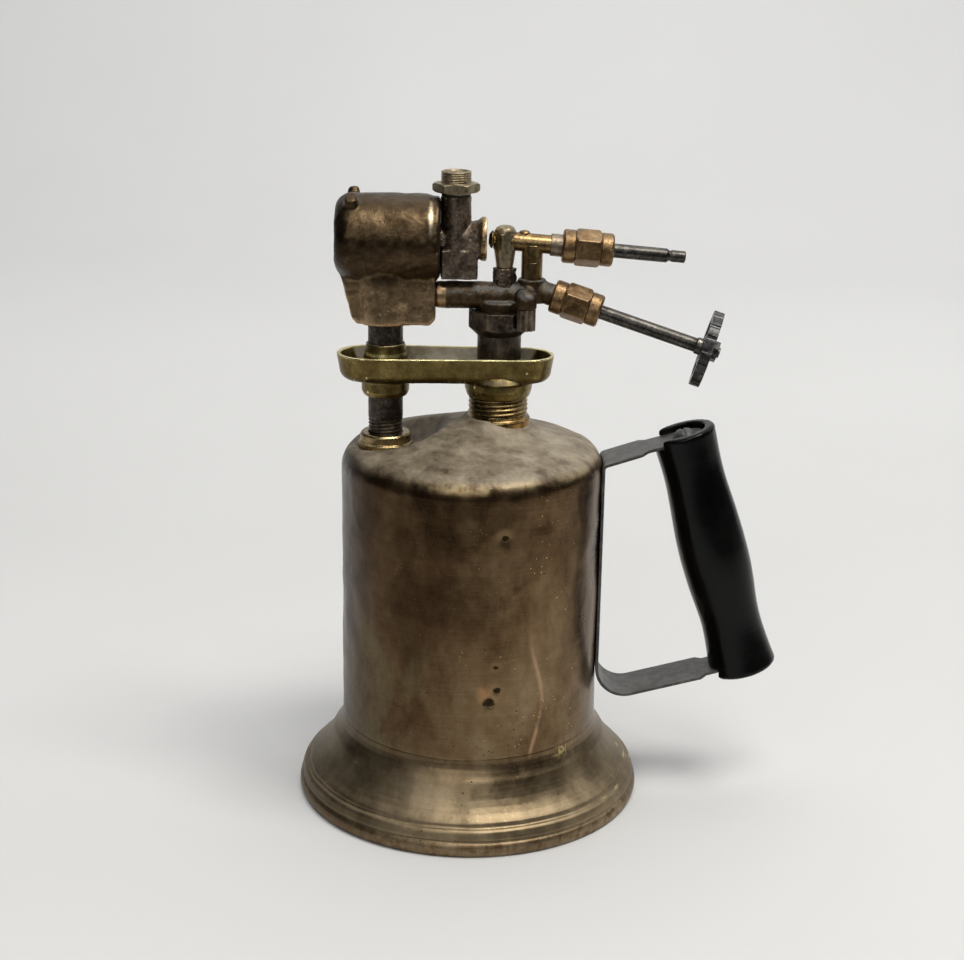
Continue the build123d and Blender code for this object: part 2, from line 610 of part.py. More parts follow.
# The post is drilled for the tube on one side and for the jet on the other.
JET_S = -8.3
with BuildPart() as post_bores:
    with BuildSketch(end_plane(upper_side, TUBE_START_S - FIT)):
        Circle(TUBE_R + FIT)
    extrude(amount=8.0)
    with BuildSketch(end_plane(upper_side, JET_S)):
        Circle(2.25)
    extrude(amount=8.0)

with BuildPart() as jet_post:
    add(post_form.part)
    add(post_bores.part, mode=Mode.SUBTRACT)
jet_post.part.label = "jet_post"
export_step(jet_post.part, "parts/jet_post.step")

with BuildPart() as jet_nipple:
    with BuildSketch(upper_side):
        Polygon((JET_S, 0.5), (JET_S, 1.8), (JET_S + 0.8, 3.1), (JET_S + 1.3, 3.6), (JET_S + 1.8, 3.1),
                (JET_S + 1.8, 2.2), (JET_S + 6.4, 2.2), (JET_S + 6.4, 0.5), align=None)
    revolve(axis=upper_axis)
jet_nipple.part.label = "jet_nipple"
export_step(jet_nipple.part, "parts/jet_nipple.step")

with BuildPart() as link_tube:
    with BuildSketch(Plane.XY.offset(211.0)):
        with Locations((LINK_X, 0)):
            Circle(4.1)
            Circle(2.0, mode=Mode.SUBTRACT)
    extrude(amount=8.5)
    add(valve_form.part, mode=Mode.SUBTRACT)
link_tube.part.label = "link_tube"
export_step(link_tube.part, "parts/link_tube.step")

with BuildPart() as upper_collar:
    with BuildSketch(end_plane(upper_side, COLLAR_S)):
        Circle(4.3)
        Circle(TUBE_R + FIT, mode=Mode.SUBTRACT)
    extrude(amount=UPPER_NUT_S - COLLAR_S)
upper_collar.part.label = "upper_collar"
export_step(upper_collar.part, "parts/upper_collar.step")

# ---------------------------------------------------------------- packing nuts, stems and needles
# Both valves are alike: (side plane, axis, where the nut starts, how deep the body reaches in).
NUT_COLLAR = 4.9
NUT_HEX = 9.7
NUT_TAIL = 5.0
NUT_L = NUT_COLLAR + NUT_HEX + NUT_TAIL


def packing_nut(side, axis, start, socket_r):
    """Round collar, hexagon and round tail, screwed over the valve body's end."""
    tail = start + NUT_L
    with BuildPart() as nut:
        with BuildSketch(side):
            Polygon((start, 0), (start, 5.9), (start + 0.6, 6.5), (start + NUT_COLLAR, 6.5),
                    (start + NUT_COLLAR, 5.6), (tail - NUT_TAIL, 5.6), (tail - NUT_TAIL, 6.4),
                    (tail - 0.7, 6.4), (tail, 5.7), (tail, 0), align=None)
        revolve(axis=axis)
        with BuildSketch(end_plane(side, start + NUT_COLLAR)):
            RegularPolygon(HEX_AF / 2, 6, major_radius=False)
        extrude(amount=NUT_HEX)
        with BuildSketch(end_plane(side, start - 1)):
            Circle(socket_r + FIT)
        extrude(amount=15.0, mode=Mode.SUBTRACT)
        with BuildSketch(end_plane(side, start)):
            Circle(STEM_BORE_R)
        extrude(amount=NUT_L, mode=Mode.SUBTRACT)
    return nut.part


def packing_ring(side, start, outer_r):
    """Graphite ring pressed between the valve body's end and the nut's inner face."""
    with BuildPart() as ring:
        with BuildSketch(end_plane(side, start + 9.2)):
            Circle(outer_r)
            Circle(STEM_BORE_R, mode=Mode.SUBTRACT)
        extrude(amount=4.6)
    return ring.part


upper_packing_nut = packing_nut(upper_side, upper_axis, UPPER_NUT_S, TUBE_R)
upper_packing_nut.label = "upper_packing_nut"
export_step(upper_packing_nut, "parts/upper_packing_nut.step")
lower_packing_nut = packing_nut(lower_side, lower_axis, LOWER_NUT_S, 4.3)
lower_packing_nut.label = "lower_packing_nut"
export_step(lower_packing_nut, "parts/lower_packing_nut.step")
upper_packing = packing_ring(upper_side, UPPER_NUT_S, TUBE_R)
upper_packing.label = "upper_packing"
export_step(upper_packing, "parts/upper_packing.step")
lower_packing = packing_ring(lower_side, LOWER_NUT_S, 4.3)
lower_packing.label = "lower_packing"
export_step(lower_packing, "parts/lower_packing.step")

# Upper stem: a plain rod with a short step and a flat for a loose wheel.
UPPER_NEEDLE_S = 6.0
UPPER_STEM_END = 67.8
END_R = 2.3
with BuildPart() as upper_stem:
    with BuildSketch(upper_side):
        Polygon((UPPER_NEEDLE_S, 0), (UPPER_NEEDLE_S, STEM_R), (60.4, STEM_R), (61.6, 1.9), (62.6, END_R),
                (UPPER_STEM_END - 0.4, END_R), (UPPER_STEM_END, END_R - 0.4), (UPPER_STEM_END, 0), align=None)
    revolve(axis=upper_axis)
upper_stem.part.label = "upper_stem"
export_step(upper_stem.part, "parts/upper_stem.step")

with BuildPart() as upper_needle:
    with BuildSketch(upper_side):
        Polygon((1.6, 0), (4.4, 1.4), (UPPER_NEEDLE_S - FIT, 1.4), (UPPER_NEEDLE_S - FIT, 0), align=None)
    revolve(axis=upper_axis)
upper_needle.part.label = "upper_needle"
export_step(upper_needle.part, "parts/upper_needle.step")

# Lower stem: the same rod, with a shoulder, the handwheel and its nut.
WHEEL_S = 42.2
WHEEL_T = 4.0
LOWER_STEM_END = 49.4
WHEEL_SEAT_R = 2.0
with BuildPart() as lower_stem:
    with BuildSketch(lower_side):
        Polygon((NEEDLE_S, 0), (NEEDLE_S, STEM_R), (39.6, STEM_R), (40.0, 3.3), (WHEEL_S - FIT, 3.3),
                (WHEEL_S - FIT, WHEEL_SEAT_R), (LOWER_STEM_END, WHEEL_SEAT_R), (LOWER_STEM_END, 0), align=None)
    revolve(axis=lower_axis)
lower_stem.part.label = "lower_stem"
export_step(lower_stem.part, "parts/lower_stem.step")

with BuildPart() as lower_needle:
    with BuildSketch(lower_side):
        Polygon((NEEDLE_S - 3.0 + 0.3, 0), (NEEDLE_S - 1.2, 1.4), (NEEDLE_S - FIT, 1.4), (NEEDLE_S - FIT, 0),
                align=None)
    revolve(axis=lower_axis)
lower_needle.part.label = "lower_needle"
export_step(lower_needle.part, "parts/lower_needle.step")

WHEEL_HOLES = 5
WHEEL_FLUTES = 18
with BuildPart() as handwheel:
    with BuildSketch(end_plane(lower_side, WHEEL_S)):
        Circle(WHEEL_R)
        Circle(WHEEL_SEAT_R + FIT, mode=Mode.SUBTRACT)
        with PolarLocations(8.3, WHEEL_HOLES):
            Circle(3.0, mode=Mode.SUBTRACT)
        with PolarLocations(WHEEL_R + 1.3, WHEEL_FLUTES):
            Circle(1.7, mode=Mode.SUBTRACT)
    extrude(amount=WHEEL_T)
    with BuildSketch(lower_side):
        Polygon((WHEEL_S, 5.0), (WHEEL_S + 0.6, 5.0), (WHEEL_S + 1.2, 11.6), (WHEEL_S, 11.6), align=None)
    revolve(axis=lower_axis, mode=Mode.SUBTRACT)
    with BuildSketch(lower_side):
        Polygon((WHEEL_S + WHEEL_T, 4.0), (WHEEL_S + WHEEL_T - 1.4, 5.0), (WHEEL_S + WHEEL_T - 1.4, 11.6),
                (WHEEL_S + WHEEL_T, 12.4), align=None)
    revolve(axis=lower_axis, mode=Mode.SUBTRACT)
handwheel.part.label = "handwheel"
export_step(handwheel.part, "parts/handwheel.step")

with BuildPart() as wheel_nut:
    with BuildSketch(end_plane(lower_side, WHEEL_S + WHEEL_T + FIT)):
        RegularPolygon(3.6, 6, major_radius=False)
        Circle(WHEEL_SEAT_R + FIT, mode=Mode.SUBTRACT)
    extrude(amount=2.4)
wheel_nut.part.label = "wheel_nut"
export_step(wheel_nut.part, "parts/wheel_nut.step")

# ---------------------------------------------------------------- handle
# Distances along the grip are measured down its axis from the middle of its top end.
UPPER_TAB_S = 2.4               # outer face of the strap under the bolt head
LOWER_TAB_S = GRIP_L - 3.1      # outer face of the strap above the nut
UPPER_ARM_TILT = 18.3           # slopes of the strap's two arms, in degrees
LOWER_ARM_TILT = 14.8
NECK_REACH = 15.5               # the narrow ends of the strap reach this far from the grip's axis
STRAP_BACK_X = BODY_R - 0.65
UPPER_BEND_R = 2.5
LOWER_BEND_R = 12.0


def along_grip(distance, offset):
    """X and Z of a point of the grip's mid plane: distance down its axis, offset away from the tank."""
    point = grip_side.from_local_coords((distance, offset, 0))
    return (point.X, point.Z)


def strap_corner(neck, tilt):
    """X and Z of the corner at the tank of an arm that slopes down from its narrow end."""
    return (STRAP_BACK_X, neck[1] - (neck[0] - STRAP_BACK_X) * tan(radians(tilt)))


TAB_R = TAB_W / 2               # round ends of the strap, on the grip's axis
WIDE_Y = STRAP_W / 2 + 0.5
SHOULDER_REACH = 3.0            # length over which the strap narrows
upper_tab = along_grip(UPPER_TAB_S, 0)
upper_neck = along_grip(UPPER_TAB_S, -NECK_REACH)
upper_corner = strap_corner(upper_neck, UPPER_ARM_TILT)
lower_tab = along_grip(LOWER_TAB_S, 0)
lower_neck = along_grip(LOWER_TAB_S, -NECK_REACH)
lower_corner = strap_corner(lower_neck, LOWER_ARM_TILT)
with BuildPart() as strap_form:
    with BuildSketch(Plane.XZ):
        with BuildLine():
            route = FilletPolyline(upper_tab, upper_neck, upper_corner, lower_corner, lower_neck, lower_tab,
                                   radius=(LOWER_BEND_R, UPPER_BEND_R, LOWER_BEND_R, LOWER_BEND_R))
            offset(amount=STRAP_T, side=Side.LEFT)
        make_face()
    extrude(amount=STRAP_W / 2, both=True)
    for tab_s in (UPPER_TAB_S, LOWER_TAB_S - STRAP_T):
        with BuildSketch(end_plane(grip_side, tab_s)):
            Circle(TAB_R)
        extrude(amount=STRAP_T)

with BuildPart() as strap_cuts:
    Cylinder(BODY_R + FIT, 200, align=(Align.CENTER, Align.CENTER, Align.MIN))
    with BuildSketch(end_plane(grip_side, -5.0)):
        Circle(BOLT_R + FIT)
    extrude(amount=GRIP_L + 10)
    for side in (-1, 1):
        with BuildSketch(end_plane(grip_side, -5.0)):
            Polygon((1.0, side * TAB_R), (-NECK_REACH, side * TAB_R), (-NECK_REACH - SHOULDER_REACH, side * WIDE_Y),
                    (1.0, side * WIDE_Y), align=None)
        extrude(amount=GRIP_L + 10)

with BuildPart() as handle_strap:
    add(strap_form.part)
    add(strap_cuts.part, mode=Mode.SUBTRACT)
handle_strap.part.label = "handle_strap"
export_step(handle_strap.part, "parts/handle_strap.step")

RECESS_R = 8.9
with BuildPart() as grip:
    with BuildSketch(grip_side):
        with BuildLine():
            swell = Spline((0.9, 12.8), (9.0, 12.3), (19.0, 12.0), (34.0, 12.9), (50.0, 13.8), (68.0, 13.2),
                           (82.0, 12.1), (93.0, 12.6), (GRIP_L - 1.2, 13.9))
            Polyline(swell @ 1, (GRIP_L, 12.8), (GRIP_L, 0), (0, 0), (0, 12.0), swell @ 0)
        make_face()
    revolve(axis=grip_axis)
    with BuildSketch(end_plane(grip_side, 0)):
        Circle(RECESS_R)
        with Locations((-RECESS_R, 0)):
            Rectangle(2 * RECESS_R, TAB_W + 0.6)
    extrude(amount=UPPER_TAB_S + STRAP_T + FIT, mode=Mode.SUBTRACT)
    with BuildSketch(end_plane(grip_side, LOWER_TAB_S - STRAP_T - FIT)):
        Circle(RECESS_R)
        with Locations((-RECESS_R, 0)):
            Rectangle(2 * RECESS_R, TAB_W + 0.6)
    extrude(amount=10.0, mode=Mode.SUBTRACT)
    with BuildSketch(end_plane(grip_side, 0)):
        Circle(BOLT_R + FIT)
    extrude(amount=GRIP_L, mode=Mode.SUBTRACT)
grip.part.label = "grip"
export_step(grip.part, "parts/grip.step")

NUT_UNDER_S = LOWER_TAB_S + FIT
with BuildPart() as handle_bolt:
    with BuildSketch(grip_side):
        with BuildLine():
            crown = ThreePointArc((UPPER_TAB_S - 2.6, 0), (UPPER_TAB_S - 1.9, 3.2), (UPPER_TAB_S - FIT, 4.7))
            Polyline(crown @ 1, (UPPER_TAB_S - FIT, BOLT_R), (NUT_UNDER_S + 3.4, BOLT_R),
                     (NUT_UNDER_S + 3.4, 0), crown @ 0)
        make_face()
    revolve(axis=grip_axis)
    with Locations(end_plane(grip_side, UPPER_TAB_S - 2.6)):
        Box(1.2, 12.0, 2.2, mode=Mode.SUBTRACT)
handle_bolt.part.label = "handle_bolt"
export_step(handle_bolt.part, "parts/handle_bolt.step")

with BuildPart() as handle_nut:
    with BuildSketch(end_plane(grip_side, NUT_UNDER_S)):
        Rectangle(10.5, 10.5)
        Circle(BOLT_R + FIT, mode=Mode.SUBTRACT)
    extrude(amount=2.8)
handle_nut.part.label = "handle_nut"
export_step(handle_nut.part, "parts/handle_nut.step")

# ---------------------------------------------------------------- pump in the tank's floor
BARREL_LOW_Z = 13.0
with BuildPart() as pump_barrel:
    with BuildSketch(Plane.XY.offset(BARREL_LOW_Z)):
        with Locations((PUMP_X, 0)):
            Circle(PUMP_R + PUMP_WALL)
            Circle(PUMP_R, mode=Mode.SUBTRACT)
    extrude(amount=PUMP_TOP_Z - BARREL_LOW_Z)
pump_barrel.part.label = "pump_barrel"
export_step(pump_barrel.part, "parts/pump_barrel.step")

ROD_R = 2.5
with BuildPart() as pump_cap:
    with BuildSketch(Plane.XZ):
        Polygon((PUMP_X + ROD_R + FIT, 10.0), (PUMP_X + 12.3, 10.0), (PUMP_X + 13.0, 10.7),
                (PUMP_X + 13.0, 18.4), (PUMP_X + PUMP_R + PUMP_WALL + FIT, 18.4),
                (PUMP_X + PUMP_R + PUMP_WALL + FIT, BARREL_LOW_Z), (PUMP_X + ROD_R + FIT, BARREL_LOW_Z),
                align=None)
    revolve(axis=pump_axis)
pump_cap.part.label = "pump_cap"
export_step(pump_cap.part, "parts/pump_cap.step")

LEATHER_Z = 92.0
with BuildPart() as pump_rod:
    with BuildSketch(Plane.XY.offset(4.0)):
        with Locations((PUMP_X, 0)):
            Circle(ROD_R)
    extrude(amount=LEATHER_Z + 7.6 - 4.0)
pump_rod.part.label = "pump_rod"
export_step(pump_rod.part, "parts/pump_rod.step")

with BuildPart() as pump_knob:
    with BuildSketch(Plane.XZ):
        with BuildLine():
            head = Polyline((PUMP_X, 3.0), (PUMP_X + 8.5, 3.0))
            edge = ThreePointArc(head @ 1, (PUMP_X + 9.8, 4.4), (PUMP_X + 8.5, 5.8))
            Polyline(edge @ 1, (PUMP_X + 4.4, 7.0), (PUMP_X + 4.4, 9.6), (PUMP_X, 9.6), head @ 0)
        make_face()
    revolve(axis=pump_axis)
    with BuildSketch(Plane.XY.offset(4.0)):
        with Locations((PUMP_X, 0)):
            Circle(ROD_R + FIT)
    extrude(amount=6.0, mode=Mode.SUBTRACT)
pump_knob.part.label = "pump_knob"
export_step(pump_knob.part, "parts/pump_knob.step")

LEATHER_R = PUMP_R - FIT
with BuildPart() as pump_leather:
    with BuildSketch(Plane.XZ):
        Polygon((PUMP_X + ROD_R + FIT, LEATHER_Z), (PUMP_X + LEATHER_R, LEATHER_Z),
                (PUMP_X + LEATHER_R, LEATHER_Z + 6.0), (PUMP_X + LEATHER_R - 1.6, LEATHER_Z + 6.0),
                (PUMP_X + LEATHER_R - 1.6, LEATHER_Z + 1.8), (PUMP_X + ROD_R + FIT, LEATHER_Z + 1.8), align=None)
    revolve(axis=pump_axis)
pump_leather.part.label = "pump_leather"
export_step(pump_leather.part, "parts/pump_leather.step")

with BuildPart() as pump_washers:
    with BuildSketch(Plane.XY.offset(LEATHER_Z - 1.2)):
        with Locations((PUMP_X, 0)):
            Circle(LEATHER_R - 1.4)
            Circle(ROD_R + FIT, mode=Mode.SUBTRACT)
    extrude(amount=1.15)
    with BuildSketch(Plane.XY.offset(LEATHER_Z + 1.85)):
        with Locations((PUMP_X, 0)):
            Circle(5.4)
            Circle(ROD_R + FIT, mode=Mode.SUBTRACT)
    extrude(amount=3.2)
pump_washers.part.label = "pump_washers"
export_step(pump_washers.part, "parts/pump_washers.step")

# The check valve closes the pump barrel's inner end: a disc on a seat, held down by a spring.
SEAT_Z = PUMP_TOP_Z + 2.0
CHAMBER_R = 5.0
with BuildPart() as check_valve_body:
    with BuildSketch(Plane.XZ):
        Polygon((PUMP_X + 1.2, PUMP_TOP_Z - 3.0), (PUMP_X + PUMP_R - FIT, PUMP_TOP_Z - 3.0),
                (PUMP_X + PUMP_R - FIT, PUMP_TOP_Z + FIT), (PUMP_X + PUMP_R + PUMP_WALL, PUMP_TOP_Z + FIT),
                (PUMP_X + PUMP_R + PUMP_WALL, SEAT_Z + 1.0), (PUMP_X + 7.0, SEAT_Z + 3.0), (PUMP_X + 7.0, SEAT_Z + 14.0),
                (PUMP_X + 1.6, SEAT_Z + 14.0), (PUMP_X + 1.6, SEAT_Z + 12.6), (PUMP_X + CHAMBER_R, SEAT_Z + 12.6),
                (PUMP_X + CHAMBER_R, SEAT_Z), (PUMP_X + 1.2, SEAT_Z), align=None)
    revolve(axis=pump_axis)
check_valve_body.part.label = "check_valve_body"
export_step(check_valve_body.part, "parts/check_valve_body.step")

DISC_T = 2.4
with BuildPart() as check_valve_disc:
    with BuildSketch(Plane.XY.offset(SEAT_Z + FIT)):
        with Locations((PUMP_X, 0)):
            Circle(CHAMBER_R - 0.6)
    extrude(amount=DISC_T)
check_valve_disc.part.label = "check_valve_disc"
export_step(check_valve_disc.part, "parts/check_valve_disc.step")

SPRING_WIRE_R = 0.35
SPRING_R = 3.4
spring_low_z = SEAT_Z + FIT + DISC_T + SPRING_WIRE_R
spring_high_z = SEAT_Z + 12.6 - SPRING_WIRE_R
with BuildPart() as check_valve_spring:
    with BuildLine():
        coil = Helix(pitch=(spring_high_z - spring_low_z) / 5, height=spring_high_z - spring_low_z,
                     radius=SPRING_R, center=(PUMP_X, 0, spring_low_z))
    with BuildSketch(Plane(origin=coil @ 0, z_dir=coil % 0)):
        Circle(SPRING_WIRE_R)
    sweep(is_frenet=True)
check_valve_spring.part.label = "check_valve_spring"
export_step(check_valve_spring.part, "parts/check_valve_spring.step")

# ---------------------------------------------------------------- filler in the tank's floor
PLUG_R = 8.0
with BuildPart() as filler_bush:
    with BuildSketch(filler_side):
        Polygon((FILLER_X + PLUG_R + FIT, 17.0), (FILLER_X + 13.5, 17.0), (FILLER_X + 13.5, FLOOR_Z - FIT),
                (FILLER_X + FILLER_R, FLOOR_Z - FIT), (FILLER_X + FILLER_R, 27.0),
                (FILLER_X + PLUG_R + FIT, 27.0), align=None)
    revolve(axis=filler_axis)
filler_bush.part.label = "filler_bush"
export_step(filler_bush.part, "parts/filler_bush.step")

with BuildPart() as filler_gasket:
    with BuildSketch(Plane.XY.offset(15.8)):
        with Locations((FILLER_X, FILLER_Y)):
            Circle(11.5)
            Circle(PLUG_R + FIT, mode=Mode.SUBTRACT)
    extrude(amount=1.15)
filler_gasket.part.label = "filler_gasket"
export_step(filler_gasket.part, "parts/filler_gasket.step")

with BuildPart() as filler_plug:
    with BuildSketch(filler_side):
        Polygon((FILLER_X, 12.0), (FILLER_X + 11.2, 12.0), (FILLER_X + 12.0, 12.8), (FILLER_X + 12.0, 15.75),
                (FILLER_X + PLUG_R, 15.75), (FILLER_X + PLUG_R, 25.4), (FILLER_X + PLUG_R - 0.8, 26.2),
                (FILLER_X, 26.2), align=None)
    revolve(axis=filler_axis)
    with Locations((FILLER_X, FILLER_Y, 8.6)):
        Box(17.0, 3.2, 7.0)
filler_plug.part.label = "filler_plug"
export_step(filler_plug.part, "parts/filler_plug.step")
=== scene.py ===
"""Looks of an antique brass gasoline blow torch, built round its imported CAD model.

The frame is the CAD model's own: the tank's axis is Z and the muzzle points along -X.
Shapes are worked out in millimetres and scaled to metres when a mesh is made.
"""
import json
import math

import bmesh
import bpy
import numpy as np
from mathutils import Matrix, Vector, noise


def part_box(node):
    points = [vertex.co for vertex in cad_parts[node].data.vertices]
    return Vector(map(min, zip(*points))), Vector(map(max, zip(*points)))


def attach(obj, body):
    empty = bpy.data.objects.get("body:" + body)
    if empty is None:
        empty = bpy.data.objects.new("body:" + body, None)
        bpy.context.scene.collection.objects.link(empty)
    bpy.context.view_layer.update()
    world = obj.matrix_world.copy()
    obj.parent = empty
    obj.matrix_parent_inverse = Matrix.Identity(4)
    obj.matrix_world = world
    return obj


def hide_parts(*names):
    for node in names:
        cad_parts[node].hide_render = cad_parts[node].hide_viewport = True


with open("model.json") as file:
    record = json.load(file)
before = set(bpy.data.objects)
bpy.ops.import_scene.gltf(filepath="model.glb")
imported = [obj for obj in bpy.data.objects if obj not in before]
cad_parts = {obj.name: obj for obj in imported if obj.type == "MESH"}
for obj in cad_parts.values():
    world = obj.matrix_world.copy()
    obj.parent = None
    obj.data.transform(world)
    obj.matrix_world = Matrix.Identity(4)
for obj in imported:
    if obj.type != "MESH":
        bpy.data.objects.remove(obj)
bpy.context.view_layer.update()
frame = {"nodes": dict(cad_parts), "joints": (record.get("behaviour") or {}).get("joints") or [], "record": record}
nodes = frame["nodes"]
joints = {joint["name"]: joint for joint in frame["joints"]}
MM = 0.001
TAU = 2 * math.pi


# ---------------- places read from the frame
def corners(node):
    """Lowest and highest corner of a CAD node, in millimetres."""
    low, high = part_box(node)
    return np.array(low) / MM, np.array(high) / MM


def upright(node):
    """Place whose Z runs up the vertical axis of a round node, from the height 0."""
    low, high = corners(node)
    middle = (low + high) / 2
    return Matrix.Translation((middle[0], middle[1], 0))


def along(point, direction):
    """Place whose Z runs along a direction from a point, with its X upright above it."""
    z = Vector(direction).normalized()
    y = z.cross(Vector((0, 0, 1))).normalized()
    x = y.cross(z)
    place = Matrix((x, y, z)).transposed().to_4x4()
    place.translation = Vector(point)
    return place


def valve_place(joint_name, node):
    """Place on a valve's axis, with its origin where the node starts."""
    direction = Vector(joints[joint_name]["axis"])
    points = mesh_points(nodes[node].data)
    distance = points @ np.array(direction)
    start = points[distance < distance.min() + 0.05].mean(axis=0)
    return along(start, direction), distance.max() - distance.min()


# ---------------- mesh making
def new_piece(name, points, faces):
    """A smooth-shaded piece from points in millimetres."""
    mesh = bpy.data.meshes.new(name)
    mesh.from_pydata([tuple(p) for p in np.asarray(points) * MM], [], faces)
    piece = bpy.data.objects.new(name, mesh)
    bpy.context.scene.collection.objects.link(piece)
    tidy_mesh(mesh)
    return piece


def tidy_mesh(mesh):
    """Merges doubled points, turns every face outwards and shades it smooth."""
    work = bmesh.new()
    work.from_mesh(mesh)
    bmesh.ops.remove_doubles(work, verts=work.verts, dist=1e-7)
    bmesh.ops.recalc_face_normals(work, faces=work.faces)
    work.to_mesh(mesh)
    work.free()
    mesh.shade_smooth()


def soften(outline, reach=0.3, grain=2.0):
    """An outline with each corner rounded by up to reach, divided into runs of at most grain."""
    points = [np.array(p, float) for p in outline]
    rounded = [points[0]]
    for before, corner, after in zip(points, points[1:], points[2:]):
        to_before = before - corner
        to_after = after - corner
        cut = min(reach, np.linalg.norm(to_before) / 2.1, np.linalg.norm(to_after) / 2.1)
        start = corner + to_before / np.linalg.norm(to_before) * cut
        end = corner + to_after / np.linalg.norm(to_after) * cut
        for t in (0, 0.25, 0.5, 0.75, 1):
            rounded.append((1 - t) ** 2 * start + 2 * t * (1 - t) * corner + t * t * end)
    rounded.append(points[-1])
    divided = [rounded[0]]
    for a, b in zip(rounded, rounded[1:]):
        runs = max(1, math.ceil(np.linalg.norm(b - a) / grain))
        divided += [a + (b - a) * k / runs for k in range(1, runs + 1)]
    return np.array(divided)


def ring_faces(rings, steps, loop=False):
    """Quads between rings of points. loop joins the last ring to the first; without it both ends are capped."""
    faces = []
    for i in range(rings if loop else rings - 1):
        a = i * steps
        b = (i + 1) % rings * steps
        faces += [(a + j, a + (j + 1) % steps, b + (j + 1) % steps, b + j) for j in range(steps)]
    if not loop:
        faces.append(tuple(range(steps)))
        faces.append(tuple(range((rings - 1) * steps, rings * steps)))
    return faces


def turned(name, place, outline, steps=96, form=None, loop=False):
    """A turned piece from (distance along the axis, radius).

    form(angle, distance, radius), if given, returns the radius that is really used.
    """
    distance = np.repeat(outline[:, :1], steps, axis=1)
    radius = np.repeat(outline[:, 1:], steps, axis=1)
    angle = np.broadcast_to(np.linspace(0, TAU, steps, endpoint=False), radius.shape)
    if form:
        radius = form(angle, distance, radius)
    local = on_cylinder(radius, angle, distance)
    turn = np.array(place.to_3x3())
    points = local @ turn.T + np.array(place.translation)
    return new_piece(name, points, ring_faces(len(outline), steps, loop))


def flats(count, across, angle, turn=0.0):
    """Radius of a regular nut's outline at an angle; turn is the angle of one of its corners."""
    sector = TAU / count
    return across / 2 / np.cos((angle - turn) % sector - sector / 2)


def grains(points, size, octaves=3, seed=0.0):
    """Smooth noise from about -1 to 1 at each point, with lumps of about size millimetres."""
    shift = Vector((seed * 7.3, seed * 3.1, seed * 5.7))
    return np.array([noise.fractal(Vector(p) / size + shift, 1.0, 2.0, octaves) for p in points])


def on_cylinder(radius, angle, distance):
    """Points on a cylinder round Z."""
    return np.stack([radius * np.cos(angle), radius * np.sin(angle), distance], axis=-1).reshape(-1, 3)


def bell(value, width):
    """Bump of height 1 round value 0."""
    return np.exp(-((value / width) ** 2))


def step_up(value, low, high):
    """0 below low, 1 above high, and smooth in between."""
    t = np.clip((value - low) / (high - low), 0, 1)
    return t * t * (3 - 2 * t)


def mesh_points(mesh):
    flat = np.empty(len(mesh.vertices) * 3)
    mesh.vertices.foreach_get("co", flat)
    return flat.reshape(-1, 3) / MM


def set_points(mesh, points):
    mesh.vertices.foreach_set("co", (points * MM).ravel())
    mesh.update()


def mesh_normals(mesh):
    flat = np.empty(len(mesh.vertices) * 3)
    mesh.vertex_normals.foreach_get("vector", flat)
    return flat.reshape(-1, 3)


def relax(mesh, rounds, strength=0.5):
    """Moves each point towards the middle of its neighbours, which melts corners round."""
    edges = np.empty(len(mesh.edges) * 2, np.int64)
    mesh.edges.foreach_get("vertices", edges)
    a, b = edges.reshape(-1, 2).T
    points = mesh_points(mesh)
    count = np.bincount(a, minlength=len(points)) + np.bincount(b, minlength=len(points))
    for _ in range(rounds):
        for axis in range(3):
            column = points[:, axis]
            total = np.bincount(a, column[b], len(points)) + np.bincount(b, column[a], len(points))
            points[:, axis] = column + strength * (total / count - column)
    set_points(mesh, points)


def remade(name, node, voxel, rounds):
    """A CAD node's skin as an even mesh with melted corners."""
    mesh = nodes[node].data.copy()
    tidy_mesh(mesh)
    mesh.transform(Matrix.Scale(1 / MM, 4))
    piece = bpy.data.objects.new(name, mesh)
    bpy.context.scene.collection.objects.link(piece)
    modifier = piece.modifiers.new("even", "REMESH")
    modifier.mode = "VOXEL"
    modifier.voxel_size = voxel
    even = bpy.data.meshes.new_from_object(piece.evaluated_get(bpy.context.evaluated_depsgraph_get()))
    piece.modifiers.clear()
    piece.data = even
    even.materials.clear()
    even.transform(Matrix.Scale(MM, 4))
    relax(even, rounds)
    even.shade_smooth()
    return piece


def roughen(piece, *layers):
    """Pushes a piece's points in and out along their normals: each layer is (depth, lump size, seed)."""
    mesh = piece.data
    points = mesh_points(mesh)
    push = sum(depth * grains(points, size, 2, seed) for depth, size, seed in layers)
    set_points(mesh, points + mesh_normals(mesh) * push[:, None])


# ---------------- materials
def linear(value):
    """A 0-255 display value as a linear one from 0 to 1."""
    if value < 11:
        return value / 255 / 12.92
    return ((value / 255 + 0.055) / 1.055) ** 2.4


def tone(red, green, blue):
    """A colour given as 0-255 display values, as a linear RGBA."""
    return linear(red), linear(green), linear(blue), 1


SLOT_LOOKS = {}  # every finished look, by the name of the material slot that it dresses


